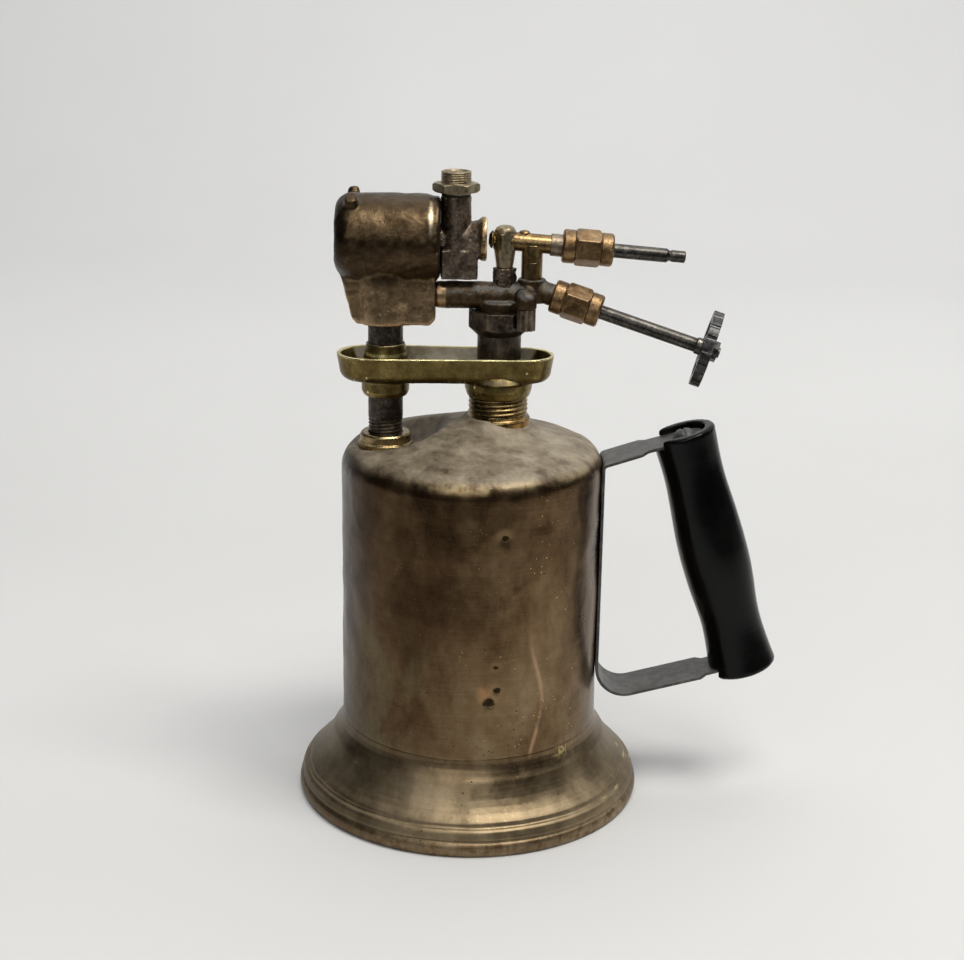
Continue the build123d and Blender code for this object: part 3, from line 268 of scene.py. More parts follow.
class Look:
    """A procedural material in the making. Each method adds a node and returns its output socket."""

    def __init__(self, name):
        self.name = name
        self.material = bpy.data.materials.new(name)
        self.material.use_nodes = True
        self.tree = self.material.node_tree
        self.shader = self.tree.nodes["Principled BSDF"]
        coordinates = self.tree.nodes.new("ShaderNodeTexCoord")
        self.place = coordinates.outputs["Object"]
        self.x, self.y, self.z = self.parts(self.place)
        _, self.facing_y, self.facing_z = self.parts(coordinates.outputs["Normal"])

    def give(self, socket, value):
        """Links a socket to another node's output, or sets it to a plain value."""
        if isinstance(value, bpy.types.NodeSocket):
            self.tree.links.new(value, socket)
        else:
            socket.default_value = value

    def math(self, operation, a, b=0.5):
        node = self.tree.nodes.new("ShaderNodeMath")
        node.operation = operation
        self.give(node.inputs[0], a)
        self.give(node.inputs[1], b)
        return node.outputs[0]

    def rise(self, value, low, high, start=0.0, end=1.0):
        """Smooth rise from start to end as value goes from low to high."""
        node = self.tree.nodes.new("ShaderNodeMapRange")
        node.interpolation_type = "SMOOTHSTEP"
        given = {"Value": value, "From Min": low, "From Max": high, "To Min": start, "To Max": end}
        for name, amount in given.items():
            self.give(node.inputs[name], amount)
        return node.outputs["Result"]

    def mix(self, factor, a, b):
        """Colour a where the factor is 0 and colour b where it is 1."""
        node = self.tree.nodes.new("ShaderNodeMix")
        node.data_type = "RGBA"
        self.give(node.inputs["Factor"], factor)
        self.give(node.inputs["A"], a)
        self.give(node.inputs["B"], b)
        return node.outputs["Result"]

    def stretched(self, stretch, shift=(0, 0, 0)):
        """The object's coordinates, moved and drawn out along each axis."""
        node = self.tree.nodes.new("ShaderNodeMapping")
        self.give(node.inputs["Vector"], self.place)
        node.inputs["Scale"].default_value = [1 / s for s in stretch]
        node.inputs["Location"].default_value = shift
        return node.outputs["Vector"]

    def clouds(self, size, detail=4.0, roughness=0.55, stretch=(1, 1, 1), seed=0.0, twist=0.0):
        """Noise from 0 to 1 with features of about size millimetres."""
        node = self.tree.nodes.new("ShaderNodeTexNoise")
        self.give(node.inputs["Vector"], self.stretched(stretch, (seed * 0.37, seed * 0.11, seed * 0.23)))
        node.inputs["Scale"].default_value = 1 / (size * MM)
        node.inputs["Detail"].default_value = detail
        node.inputs["Roughness"].default_value = roughness
        node.inputs["Distortion"].default_value = twist
        return node.outputs["Fac"]

    def cells(self, size, seed=0.0):
        """Distance from scattered points about size millimetres apart, in units of that size."""
        node = self.tree.nodes.new("ShaderNodeTexVoronoi")
        self.give(node.inputs["Vector"], self.stretched((1, 1, 1), (seed * 0.17, seed * 0.29, seed * 0.13)))
        node.inputs["Scale"].default_value = 1 / (size * MM)
        return node.outputs["Distance"]

    def ramp(self, value, *stops):
        """Colour ramp through (position, colour) stops."""
        node = self.tree.nodes.new("ShaderNodeValToRGB")
        elements = node.color_ramp.elements
        while len(elements) < len(stops):
            elements.new(0.5)
        for element, (position, colour) in zip(elements, stops):
            element.position = position
            element.color = colour
        self.give(node.inputs["Fac"], value)
        return node.outputs["Color"]

    def parts(self, vector):
        """The X, Y and Z of a vector."""
        node = self.tree.nodes.new("ShaderNodeSeparateXYZ")
        self.give(node.inputs["Vector"], vector)
        return node.outputs["X"], node.outputs["Y"], node.outputs["Z"]

    def edges(self, low, high):
        """1 on convex edges and 0 elsewhere."""
        node = self.tree.nodes.new("ShaderNodeNewGeometry")
        return self.rise(node.outputs["Pointiness"], low, high)

    def near(self, point, radius, stretch=(1, 1, 1), ragged=0.0):
        """1 at a point given in millimetres, falling to 0 at the radius, with a ragged outline if wanted."""
        node = self.tree.nodes.new("ShaderNodeVectorMath")
        node.operation = "SUBTRACT"
        self.give(node.inputs[0], self.place)
        node.inputs[1].default_value = [c * MM for c in point]
        scaled = self.tree.nodes.new("ShaderNodeVectorMath")
        scaled.operation = "DIVIDE"
        self.give(scaled.inputs[0], node.outputs["Vector"])
        scaled.inputs[1].default_value = stretch
        length = self.tree.nodes.new("ShaderNodeVectorMath")
        length.operation = "LENGTH"
        self.give(length.inputs[0], scaled.outputs["Vector"])
        distance = length.outputs["Value"]
        if ragged:
            wander = self.math("SUBTRACT", self.clouds(radius * 0.9, 4, 0.7, seed=point[2]), 0.5)
            distance = self.math("ADD", distance, self.times(wander, ragged * radius * MM * 2))
        return self.rise(distance, radius * MM, 0.0)

    def bell(self, value, middle, width):
        """1 where value is at the middle, falling off smoothly to each side."""
        away = self.math("DIVIDE", self.math("SUBTRACT", value, middle), width)
        return self.math("EXPONENT", self.times(away, away, -1.0))

    def times(self, *values):
        result = values[0]
        for value in values[1:]:
            result = self.math("MULTIPLY", result, value)
        return result

    def plus(self, *values):
        result = values[0]
        for value in values[1:]:
            result = self.math("ADD", result, value)
        return result

    def done(self, colour, roughness, metallic=1.0, height=None, depth=0.1):
        """Joins everything to the shader and keeps the material. height is a bump of depth millimetres."""
        self.give(self.shader.inputs["Base Color"], colour)
        self.give(self.shader.inputs["Roughness"], roughness)
        self.give(self.shader.inputs["Metallic"], metallic)
        if height is not None:
            bump = self.tree.nodes.new("ShaderNodeBump")
            bump.inputs["Distance"].default_value = depth * MM
            self.give(bump.inputs["Height"], height)
            self.give(self.shader.inputs["Normal"], bump.outputs["Normal"])
        SLOT_LOOKS[self.name] = self.material


SOOT = tone(30, 24, 18)
GREY_DUST = tone(148, 140, 122)


def old_metal(name, tones, blotch=9.0, roughness=(0.26, 0.46), dust=0.15, seed=0.0, depth=0.08, speckled=0.55,
              shape=None):
    """Aged metal: blotches of three tones, worn edges, dark pits and crevices, pale specks, dust on top.

    tones are its dark, middle, light and worn colours. shape, if given, is called with the look, the colour,
    the roughness and how dusty it is, and returns the last three changed.
    """
    look = Look(name)
    dark, middle, light, worn = (tone(*shade) for shade in tones)
    broad = look.clouds(blotch, 5, 0.6, seed=seed, twist=0.5)
    middling = look.clouds(blotch * 0.28, 4, 0.6, seed=seed + 6)
    fine = look.clouds(0.7, 4, 0.65, seed=seed + 1)
    scratch = look.clouds(1.6, 2, 0.5, (1, 1, 7), seed + 2)
    mixture = look.plus(look.times(broad, 0.6), look.times(middling, 0.4))
    colour = look.ramp(mixture, (0.36, dark), (0.5, middle), (0.63, light))
    colour = look.mix(look.rise(fine, 0.42, 0.72, 0.0, 0.4), colour, dark)
    crevice = look.rise(look.edges(0.35, 0.65), 0.42, 0.2)
    colour = look.mix(look.times(crevice, 0.8), colour, SOOT)
    pitted = look.rise(look.clouds(5, 2, seed=seed + 3), 0.48, 0.6)
    pits = look.times(look.rise(look.cells(1.5, seed), 0.22, 0.1), pitted)
    colour = look.mix(look.times(pits, 0.5), colour, SOOT)
    specks = look.times(look.rise(look.cells(2.1, seed + 9), 0.12, 0.05), look.rise(broad, 0.45, 0.6))
    colour = look.mix(look.times(specks, speckled), colour, worn)
    rubbing = look.rise(look.clouds(3.0, 3, seed=seed + 4), 0.36, 0.56, 0.3, 1.0)
    rubbed = look.times(look.edges(0.52, 0.58), rubbing)
    colour = look.mix(rubbed, colour, worn)
    up = look.rise(look.facing_z, 0.4, 0.95)
    powder = look.times(up, look.rise(look.clouds(5, 5, 0.65, seed=seed + 5), 0.36, 0.64), dust)
    colour = look.mix(powder, colour, GREY_DUST)
    rough = look.rise(look.plus(look.times(middling, 0.5), look.times(fine, 0.5)), 0.32, 0.68, *roughness)
    rough = look.times(rough, look.rise(rubbed, 0, 1, 1.0, 0.7))
    rough = look.plus(rough, look.times(powder, 0.4), look.times(pits, 0.25))
    if shape:
        colour, rough, powder = shape(look, colour, rough, powder)
    metal = look.rise(powder, 0, 1, 1.0, 0.1)
    height = look.plus(look.times(fine, 0.4), look.times(scratch, 0.2), look.times(pits, -0.9),
                       look.times(middling, 0.8))
    look.done(colour, rough, metal, height, depth)


def put(piece, material):
    """Gives a piece this one material."""
    piece.data.materials.clear()
    piece.data.materials.append(material)


# ---------------- metals and paints
ARM_X = -0.011  # the burner casting ends and the arm begins here, in metres


def bushes(look, colour, rough, powder):
    """The neck has a polished golden patch at its near right foot, which also paints the highlight there, and is
    olive to the left; the bush is polished by wear.
    """
    # Polished golden patch on the neck, which also paints its highlight.
    gold = look.near((19, -11, 153), 11, (1, 1, 1), 0.4)
    colour = look.mix(look.times(gold, 0.7), colour, tone(214, 164, 92))
    gold = look.near((-36, -10, 147), 13, (1, 1, 0.6), 0.5)
    colour = look.mix(look.times(gold, 0.6), colour, tone(206, 186, 140))
    return colour, look.math("SUBTRACT", rough, look.times(gold, 0.08)), powder


def cup_wear(look, colour, rough, powder):
    """Pale dust dries on the inside of the cup; its rim has a painted highlight in patches, and a band low on the
    cup is painted shade.
    """
    floor_z = 0.1742
    rim_z = 0.183
    under_z = 0.1728
    inward = look.rise(look.times(look.facing_y, look.y), -0.0015, -0.006)
    inside = look.times(inward, look.rise(look.z, floor_z, floor_z + 0.0016))
    inside = look.times(inside, look.rise(look.math("ABSOLUTE", look.y), 0.0085, 0.0095))
    film = look.ramp(look.clouds(4, 5, 0.65, seed=51), (0.35, tone(186, 176, 150)), (0.6, tone(226, 219, 198)))
    colour = look.mix(look.times(inside, 0.92), colour, film)
    # Painted highlight along the rim, in patches.
    rim = look.rise(look.z, rim_z - 0.0008, rim_z - 0.0003)
    rim = look.times(rim, look.rise(look.z, rim_z + 0.0008, rim_z + 0.0003))
    rim = look.times(rim, look.rise(look.clouds(7, 3, seed=52), 0.32, 0.5, 0.35, 1.0))
    colour = look.mix(rim, colour, tone(226, 214, 158))
    # Painted shade low on the cup, under its floor.
    low = look.times(look.rise(look.z, under_z + 0.0034, under_z), look.rise(look.z, under_z - 0.0013, under_z))
    colour = look.mix(look.times(low, 0.6), colour, tone(46, 36, 20))
    rough = look.plus(rough, look.times(inside, 0.3), look.times(rim, -0.1))
    return colour, rough, look.math("MAXIMUM", powder, inside)


def burner_wear(look, colour, rough, powder):
    """Painted highlight on the bead at the rear of the barrel, darker muzzle and crown, painted shade along the
    barrel's flank, pale coppery boss.
    """
    bead_x = -0.0168
    muzzle_x = -0.0475
    flank_z = 0.2225
    boss_z = 0.208
    # Painted highlight on the bead, on its side towards the front.
    bead_highlight = look.times(look.bell(look.x, bead_x, 0.0007), look.rise(look.z, 0.2285, 0.234))
    bead_highlight = look.times(bead_highlight, look.rise(look.facing_y, -0.2, -0.6))
    colour = look.mix(look.times(bead_highlight, 0.9), colour, tone(222, 204, 170))
    foot = look.rise(look.clouds(2.2, 4, 0.65, seed=53), 0.42, 0.56)
    foot = look.times(look.rise(look.z, 0.1985, 0.1955), foot)
    colour = look.mix(look.times(foot, 0.9), colour, tone(190, 138, 102))
    cheek = look.near((-19, -7, 206), 9, (0.8, 1, 1.6), 0.5)
    cheek = look.times(cheek, look.rise(look.clouds(1.5, 4, seed=54), 0.5, 0.6))
    colour = look.mix(look.times(cheek, 0.8), colour, tone(196, 160, 120))
    muzzle = look.rise(look.x, muzzle_x, muzzle_x - 0.003)
    colour = look.mix(look.times(muzzle, 0.75), colour, tone(44, 37, 29))
    crown = look.times(look.rise(look.z, 0.2365, 0.2425), look.rise(look.x, -0.013, -0.016))
    colour = look.mix(look.times(crown, 0.6), colour, tone(60, 48, 33))
    burner = look.rise(look.x, ARM_X + 0.0005, ARM_X - 0.0005)
    # Painted shade along the barrel's flank, at its middle height.
    flank = look.rise(look.clouds(6, 4, seed=58), 0.3, 0.6, 0.62, 0.4)
    flank = look.times(burner, look.bell(look.z, flank_z, 0.0105), flank)
    colour = look.mix(flank, colour, tone(40, 30, 20))
    boss = look.rise(look.clouds(3.5, 4, seed=56), 0.3, 0.55, 0.35, 0.8)
    boss = look.times(burner, look.rise(look.z, boss_z + 0.006, boss_z), boss)
    colour = look.mix(boss, colour, tone(172, 146, 112))
    return arm_wear(look, colour, rough, powder)


def arm_wear(look, colour, rough, powder):
    """The arm and the junction are duller than the burner: brown below, with a grey matt crust on top that also
    paints the reflection of the bright light from above.
    """
    arm = look.rise(look.x, ARM_X - 0.0005, ARM_X + 0.0005)
    colour = look.mix(look.times(arm, 0.3), colour, tone(74, 60, 44))
    # Grey on the top faces: a matt crust, and a painted reflection of the bright light from above.
    top_sheen_and_crust = look.times(arm, look.rise(look.facing_z, 0.05, 0.6))
    top_sheen_and_crust = look.times(top_sheen_and_crust, look.rise(look.clouds(3.2, 5, 0.65, seed=57), 0.4, 0.56))
    colour = look.mix(look.times(top_sheen_and_crust, 0.7), colour, tone(104, 104, 102))
    rough = look.plus(rough, look.times(arm, 0.14), look.times(top_sheen_and_crust, 0.15))
    return colour, rough, look.math("MAXIMUM", powder, look.times(top_sheen_and_crust, 0.6))


def block_wear(look, colour, rough, powder):
    """The flared disc is brass on its right face and rubbed bright round its rim, which also paints its highlight;
    the union nut below is darkened, partly as painted shade.
    """
    by_disc = look.rise(look.near((4, 0, 229), 14), 0.02, 0.2)
    disc = look.times(look.rise(look.x, 0.0012, 0.0026), by_disc)
    colour = look.mix(look.times(disc, 0.7), colour, tone(150, 124, 84))
    rim = look.rise(look.clouds(4, 3, seed=55), 0.3, 0.5, 0.5, 1.0)
    # Worn bright rim, which also paints the highlight on the disc's right side.
    rim = look.times(look.rise(look.x, 0.0036, 0.0043), by_disc, rim)
    colour = look.mix(rim, colour, tone(232, 206, 160))
    # Darkens the union nut below, as nearly black bronze and partly as painted shade under the block.
    union = look.rise(look.near((9.9, 0, 196), 15), 0.02, 0.15)
    colour = look.mix(look.times(union, 0.8), colour, tone(30, 25, 21))
    return colour, look.plus(rough, look.times(disc, -0.12)), powder


def tube_wear(look, colour, rough, powder):
    """Painted shade darkens the lower side of the tube, and the link below it is darker."""
    # Painted shade on the downward faces.
    down = look.rise(look.facing_z, 0.15, -0.75)
    colour = look.mix(look.times(down, 0.7), colour, tone(70, 50, 32))
    # Darker towards the bottom, on the link below the tube.
    low = look.rise(look.z, 0.2232, 0.2205)
    return look.mix(look.times(low, 0.5), colour, tone(92, 72, 46)), rough, powder


# Dark, middle, light and worn tones of each metal, then how it is blotched and how rough it is.
old_metal("fitting_brass", ((70, 56, 34), (124, 104, 68), (162, 140, 92), (220, 198, 146)),
          blotch=7, roughness=(0.2, 0.38), seed=1.0, shape=bushes)
old_metal("cup_brass", ((78, 64, 34), (114, 98, 58), (142, 126, 78), (222, 206, 150)),
          blotch=12, roughness=(0.26, 0.42), seed=2.0, dust=0.8, shape=cup_wear)
old_metal("bright_brass", ((84, 64, 40), (128, 102, 66), (160, 132, 88), (216, 190, 142)),
          blotch=8, roughness=(0.24, 0.36), seed=3.0, dust=0.1, speckled=0.1, shape=tube_wear)
old_metal("nut_bronze", ((84, 64, 42), (134, 107, 75), (162, 134, 98), (212, 184, 140)),
          blotch=6, roughness=(0.32, 0.48), seed=4.0, dust=0.2, speckled=0.2)
old_metal("cast_bronze", ((56, 44, 30), (86, 70, 50), (112, 94, 70), (156, 130, 96)),
          blotch=8, roughness=(0.28, 0.42), seed=5.0, depth=0.2, dust=0.12, speckled=0.2,
          shape=burner_wear)
old_metal("sooty_bronze", ((66, 56, 48), (112, 99, 86), (150, 134, 116), (190, 170, 138)),
          blotch=5, roughness=(0.34, 0.52), seed=6.0, depth=0.18, dust=0.2, speckled=0.35,
          shape=block_wear)
old_metal("plug_bronze", ((98, 85, 66), (150, 136, 110), (178, 164, 134), (216, 202, 164)),
          blotch=4, roughness=(0.3, 0.48), seed=7.0, dust=0.3, speckled=0.35)
old_metal("iron_pipe", ((42, 37, 32), (76, 69, 61), (112, 102, 91), (140, 124, 100)),
          blotch=4, roughness=(0.34, 0.52), seed=8.0, depth=0.16, dust=0.1, speckled=0.4)
old_metal("dark_steel", ((46, 43, 40), (76, 73, 69), (106, 102, 96), (160, 155, 146)),
          blotch=4, roughness=(0.26, 0.42), seed=9.0, dust=0.1, speckled=0.3)
old_metal("inner_brass", ((66, 54, 32), (112, 94, 58), (140, 118, 74), (180, 156, 104)),
          seed=10.0, dust=0.1)

# The crease low on the near right of the tank: degrees round the axis, and millimetres up.
CREASE_AZIMUTH = -64.5
CREASE_SWAY = 7.5
CREASE_MIDDLE = 55.0
CREASE_REACH = 20.0


def patina(look, mixture, broad, on_foot):
    """Brown patina with painted light: painted shade makes it darkest at the left, and painted light and a painted
    floor reflection make it lighter below and to the right; the foot is paler and duller.
    """
    # The height and side ramps paint light: lighter low down as a painted reflection of the floor, lighter to the
    # right as painted light from that side.
    shade = look.plus(mixture, look.rise(look.z, 0.125, 0.03, 0.0, 0.045))
    shade = look.plus(shade, look.rise(look.x, -0.05, 0.05, -0.05, 0.035))
    colour = look.ramp(shade, (0.37, tone(70, 50, 33)), (0.48, tone(97, 75, 52)), (0.58, tone(122, 100, 73)),
                       (0.72, tone(152, 133, 104)))
    # Painted shade, darkest at the left, with some darker random blotches.
    shade_and_blotches = look.plus(look.rise(look.x, -0.045, 0.02, 0.44, 0.04), look.times(look.rise(broad, 0.56, 0.44), 0.14))
    shade_and_blotches = look.plus(shade_and_blotches, look.times(look.rise(look.x, -0.035, -0.052), 0.2))
    colour = look.mix(shade_and_blotches, colour, tone(30, 23, 15))
    flare = look.ramp(mixture, (0.38, tone(100, 86, 64)), (0.5, tone(136, 120, 94)),
                      (0.62, tone(170, 152, 122)))
    colour = look.mix(on_foot, colour, flare)
    # Painted shade on the left of the foot.
    left = look.times(on_foot, look.rise(look.x, -0.01, -0.045), 0.4)
    return look.mix(left, colour, tone(40, 32, 20))


def smudges(look, colour, smudge):
    """Grey-green bloom low on the left, a painted highlight in patches along the shoulder, and a painted highlight
    with a coppery tint down the crease.
    """
    bloom = look.times(look.near((-38, -36, 52), 40, (1, 1, 1.2)), look.rise(smudge, 0.42, 0.62))
    colour = look.mix(look.times(bloom, 0.6), colour, tone(98, 95, 70))
    # Painted highlight in patches along the shoulder, fading out towards the left.
    shoulder = look.times(look.rise(look.z, 0.1395, 0.1435), look.rise(look.z, 0.1495, 0.1455))
    shoulder = look.times(shoulder, look.rise(look.x, -0.045, 0.0))
    rubbed = look.times(shoulder, look.rise(smudge, 0.4, 0.58), 0.8)
    colour = look.mix(rubbed, colour, tone(182, 162, 122))
    # Painted highlight down the crease, with a coppery tint.
    azimuth = look.math("ARCTAN2", look.y, look.x)
    sway = look.times(look.bell(look.z, CREASE_MIDDLE * MM, CREASE_REACH * MM), math.radians(CREASE_SWAY))
    off = look.math("SUBTRACT", look.math("SUBTRACT", azimuth, math.radians(CREASE_AZIMUTH)), sway)
    crease_glint_and_copper = look.times(look.bell(off, 0.0, 0.017), look.rise(look.z, 0.094, 0.07))
    crease_glint_and_copper = look.times(crease_glint_and_copper, look.rise(look.z, 0.029, 0.036))
    crease_glint_and_copper = look.times(crease_glint_and_copper, look.rise(smudge, 0.34, 0.52, 0.25, 1.0))
    return look.mix(look.times(crease_glint_and_copper, 0.5), colour, tone(202, 164, 132))


def knock_pits(look, colour, pits):
    """Dark pits at the front knocks, each in a paler halo, and a coppery patch beside the largest."""
    for point, size in (((12.7, -50.4, 123.2), 2.0), ((7.9, -51.4, 56.6), 2.9), ((10.5, -51.0, 61.8), 1.8),
                        ((10.2, -51, 71.5), 1.1)):
        halo = look.near(point, size * 3.2, (1, 1, 1), 0.5)
        colour = look.mix(look.times(halo, 0.35), colour, tone(150, 128, 92))
        pit = look.near(point, size * 1.5, (1, 1, 0.8), 0.55)
        pits = look.math("MAXIMUM", pits, look.rise(pit, 0.3, 0.5))
    colour = look.mix(look.times(pits, 0.85), colour, tone(38, 31, 18))
    copper = look.near((5.6, -51.7, 60.5), 3.8, (1, 1, 1.4), 0.7)
    return look.mix(look.times(copper, 0.45), colour, tone(190, 140, 96)), pits


def foot_marks(look, colour, spots):
    """A drop of solder by the seam, a browner, nicked and rubbed rolled rim whose bright worn edges also paint its
    highlight, and darker concave grooves away from the seam.
    """
    solder = look.times(look.near((35.5, -38.2, 30.5), 8, (1, 1, 0.4), 0.4), look.rise(spots, 0.5, 0.54))
    colour = look.mix(solder, colour, tone(222, 204, 132))
    rim = look.times(look.rise(look.z, 0.0063, 0.0052), look.rise(spots, 0.34, 0.56, 0.9, 0.15))
    colour = look.mix(rim, colour, tone(104, 80, 56))
    # Bright worn edges low on the foot, which also paint the highlight along the rolled rim.
    edge = look.times(look.edges(0.515, 0.56), look.rise(spots, 0.36, 0.56, 0.3, 1.0))
    edge = look.times(edge, look.rise(look.z, 0.02, 0.012))
    colour = look.mix(edge, colour, tone(206, 186, 146))
    # Darkens concave grooves, though not at the seam itself.
    by_seam = look.rise(look.bell(look.z, 0.033, 0.008), 0.4, 0.05)
    groove = look.times(look.rise(look.edges(0.35, 0.65), 0.45, 0.25), by_seam)
    return look.mix(look.times(groove, 0.6), colour, tone(44, 36, 24))


def dome_film(look, colour, smudge, spots, brushed):
    """Dull grey-brown film on the tank's top, where it faces up."""
    up = look.times(look.rise(look.facing_z, 0.35, 0.9), look.rise(look.z, 0.13, 0.14))
    patchy = look.plus(look.times(spots, 0.4), look.times(smudge, 0.6))
    film = look.times(up, look.rise(patchy, 0.3, 0.46, 0.6, 0.97))
    # The film is painted lighter towards the right, as painted light from that side.
    soft = look.plus(look.times(smudge, 0.65), look.times(spots, 0.25), look.times(brushed, 0.1),
                     look.rise(look.x, -0.045, 0.045, -0.07, 0.07))
    powder = look.ramp(soft, (0.36, tone(84, 72, 53)), (0.5, tone(126, 114, 94)), (0.66, tone(164, 153, 132)))
    return look.mix(film, colour, powder), film


def wall_brass(name):
    """Old spun brass of the tank and its foot: patina, smudges, bright flecks, pits and a dusty top."""
    look = Look(name)
    broad = look.clouds(30, 5, 0.55, (1, 1, 1.5), 11, 0.4)
    smudge = look.clouds(11, 6, 0.62, (1, 1, 1.8), 17, 0.3)
    spots = look.clouds(3.2, 5, 0.65, (1, 1, 1.2), 12)
    fine = look.clouds(0.7, 3, 0.6, seed=13)
    brushed = look.clouds(1.6, 3, 0.6, (10, 10, 0.4), 14)
    drawn = look.clouds(1.3, 3, 0.6, (0.6, 0.6, 9), 18)
    mixture = look.plus(look.times(broad, 0.46), look.times(smudge, 0.3), look.times(spots, 0.14),
                        look.times(brushed, 0.1))
    on_foot = look.rise(look.z, 0.038, 0.016)
    colour = patina(look, mixture, broad, on_foot)
    colour = smudges(look, colour, smudge)
    # Bright flecks, mostly to the right, and dark pits.
    clusters = look.rise(look.clouds(10, 3, seed=15), 0.55, 0.62)
    clusters = look.times(clusters, look.rise(look.x, -0.02, 0.03, 0.15, 1.0))
    flecks = look.times(look.rise(look.cells(1.9, 3), 0.2, 0.1), clusters)
    colour = look.mix(look.times(flecks, 0.75), colour, tone(196, 178, 118))
    pitted = look.rise(look.clouds(13, 3, seed=16), 0.5, 0.6)
    pits = look.times(look.rise(look.cells(2.7, 5), 0.13, 0.06), pitted)
    colour, pits = knock_pits(look, colour, pits)
    colour = foot_marks(look, colour, spots)
    colour, film = dome_film(look, colour, smudge, spots, brushed)
    rough = look.plus(look.rise(mixture, 0.38, 0.62, 0.22, 0.34), look.times(fine, 0.07))
    rough = look.plus(rough, look.times(flecks, -0.1), look.times(film, 0.34), look.times(pits, 0.3))
    rough = look.plus(rough, look.times(on_foot, 0.13))
    metal = look.rise(film, 0, 1, 1.0, 0.15)
    height = look.plus(look.times(fine, 0.1), look.times(spots, 0.5), look.times(pits, -1.6),
                       look.times(brushed, 0.1), look.times(drawn, 0.1), smudge)
    look.done(colour, rough, metal, height, 0.17)


def paint(name, body, faded, under, gloss, seed, edge, chips, metallic=0.0, specular=0.5, low=None):
    """Old stove paint: body colour with chips and worn edges that show what is under it.

    low, if given, is the pair of tones of the rubbed, duller strap below the valves.
    """
    look = Look(name)
    look.shader.inputs["Specular IOR Level"].default_value = specular
    fine = look.clouds(1.2, 4, 0.6, seed=seed)
    broad = look.clouds(14, 4, 0.55, seed=seed + 1)
    worn = look.times(look.edges(*edge), look.rise(look.clouds(2.5, 4, 0.6, seed=seed + 2), 0.44, 0.58))
    chip = look.rise(look.clouds(4.5, 5, 0.6, seed=seed + 3), chips, chips + 0.02)
    bare = look.math("MAXIMUM", worn, chip)
    colour = look.mix(look.rise(broad, 0.4, 0.7, 0.0, 0.8), body, faded)
    rough = look.rise(broad, 0.3, 0.7, gloss, gloss + 0.1)
    rough = look.plus(rough, look.times(fine, 0.05), look.times(bare, 0.25))
    if low:
        strap = look.rise(look.z, 0.168, 0.165)
        mottled = look.ramp(look.clouds(4, 5, 0.65, seed=seed + 5), (0.38, low[0]), (0.6, low[1]))
        colour = look.mix(strap, colour, mottled)
        rough = look.plus(rough, look.times(strap, 0.1))
    colour = look.mix(look.times(bare, 0.85), colour, under)
    height = look.plus(look.times(fine, 0.3), look.times(bare, -0.7), look.times(broad, 0.8))
    look.done(colour, rough, look.times(bare, metallic), height, 0.1)


def soft_material(name, dark, light, size, stretch, seed):
    """Leather, graphite or cotton: a rough two-tone grain."""
    look = Look(name)
    grain = look.clouds(size, 5, 0.65, stretch, seed)
    colour = look.ramp(grain, (0.35, dark), (0.65, light))
    look.done(colour, look.rise(grain, 0.3, 0.7, 0.6, 0.9), 0.0, grain, 0.15)


wall_brass("tank_brass")
wall_brass("foot_brass")
paint("black_wood", tone(5, 5, 5), tone(12, 12, 11), tone(64, 30, 26), gloss=0.1, seed=31.0,
      edge=(0.6, 0.68), chips=0.72, specular=0.16)
paint("black_steel", tone(14, 14, 14), tone(30, 30, 29), tone(112, 109, 103), gloss=0.2, seed=35.0,
      edge=(0.52, 0.58), chips=0.6, metallic=0.8, low=(tone(38, 38, 36), tone(74, 73, 69)))
soft_material("graphite", tone(30, 30, 31), tone(58, 57, 56), 0.8, (1, 1, 1), 41.0)
soft_material("leather", tone(52, 32, 18), tone(96, 64, 40), 1.4, (1, 1, 1), 42.0)
soft_material("wick_cotton", tone(120, 108, 84), tone(176, 162, 132), 1.0, (1, 1, 4), 43.0)

slot_of = {part["node"]: part["material_slot"] for part in frame["record"]["subparts"]}


def finish_piece(piece, node, body="torch"):
    """A new piece stands for its CAD node: same place, body, slot and kind of metal."""
    put(piece, SLOT_LOOKS[slot_of[node]])
    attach(piece, body)
    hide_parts(node)


# ---------------- tank
SHOULDER_R = 9.0
DOME_FLAT_R = 13.0


def shoulder_turn(body_r, top_z):
    """Height where the tank's straight wall turns into its shoulder."""
    tilt = math.radians(16)
    drop = (body_r - SHOULDER_R + SHOULDER_R * math.sin(tilt) - DOME_FLAT_R) * math.tan(tilt)
    return top_z - drop - SHOULDER_R * math.cos(tilt)


def dome_height(x, y, z, top_z):
    """Height of the domed top with the hollow for the front bush, the rise round the neck and the knocks."""
    # The hollow is a ball pressed into the dome round the front bush, blended softly at its rim.
    bush_low, bush_high = corners("front_bush")
    hollow_r = 30.0
    bush_x = (bush_low[0] + bush_high[0]) / 2
    ball_z = bush_low[2] + hollow_r
    away = (x - bush_x) ** 2 + y ** 2
    ball = ball_z - np.sqrt(np.maximum(hollow_r ** 2 - away, 0))
    ball = np.where(away < hollow_r ** 2, ball, top_z + 50)
    blend = 0.8
    closeness = np.exp(-(z - top_z) / blend) + np.exp(-np.minimum(ball - top_z, 40) / blend)
    z = np.minimum(z, top_z - blend * np.log(closeness))
    # The metal rises a little round the neck.
    neck_low, neck_high = corners("rear_neck")
    neck_r = (neck_high[0] - neck_low[0]) / 2
    from_neck = np.hypot(x - (neck_low[0] + neck_high[0]) / 2, y)
    z = z + 2.6 * np.exp(-np.maximum(from_neck - neck_r, 0) / 2.0)
    # Knocks beside the neck and right of the middle, and a ridge that runs down from the neck.
    z = z - 0.9 * bell(np.hypot(x + 1.5, (y + 11.5) * 0.8), 2.6)
    z = z - 1.3 * bell(np.hypot((x - 17) * 0.9, (y + 20) * 0.55), 7.5)
    z = z + 0.5 * bell(np.hypot(x - 6, (y + 30) * 0.35), 4.5)
    return z - 0.8 * bell(np.hypot((x - 30) * 0.6, y - 22), 9)


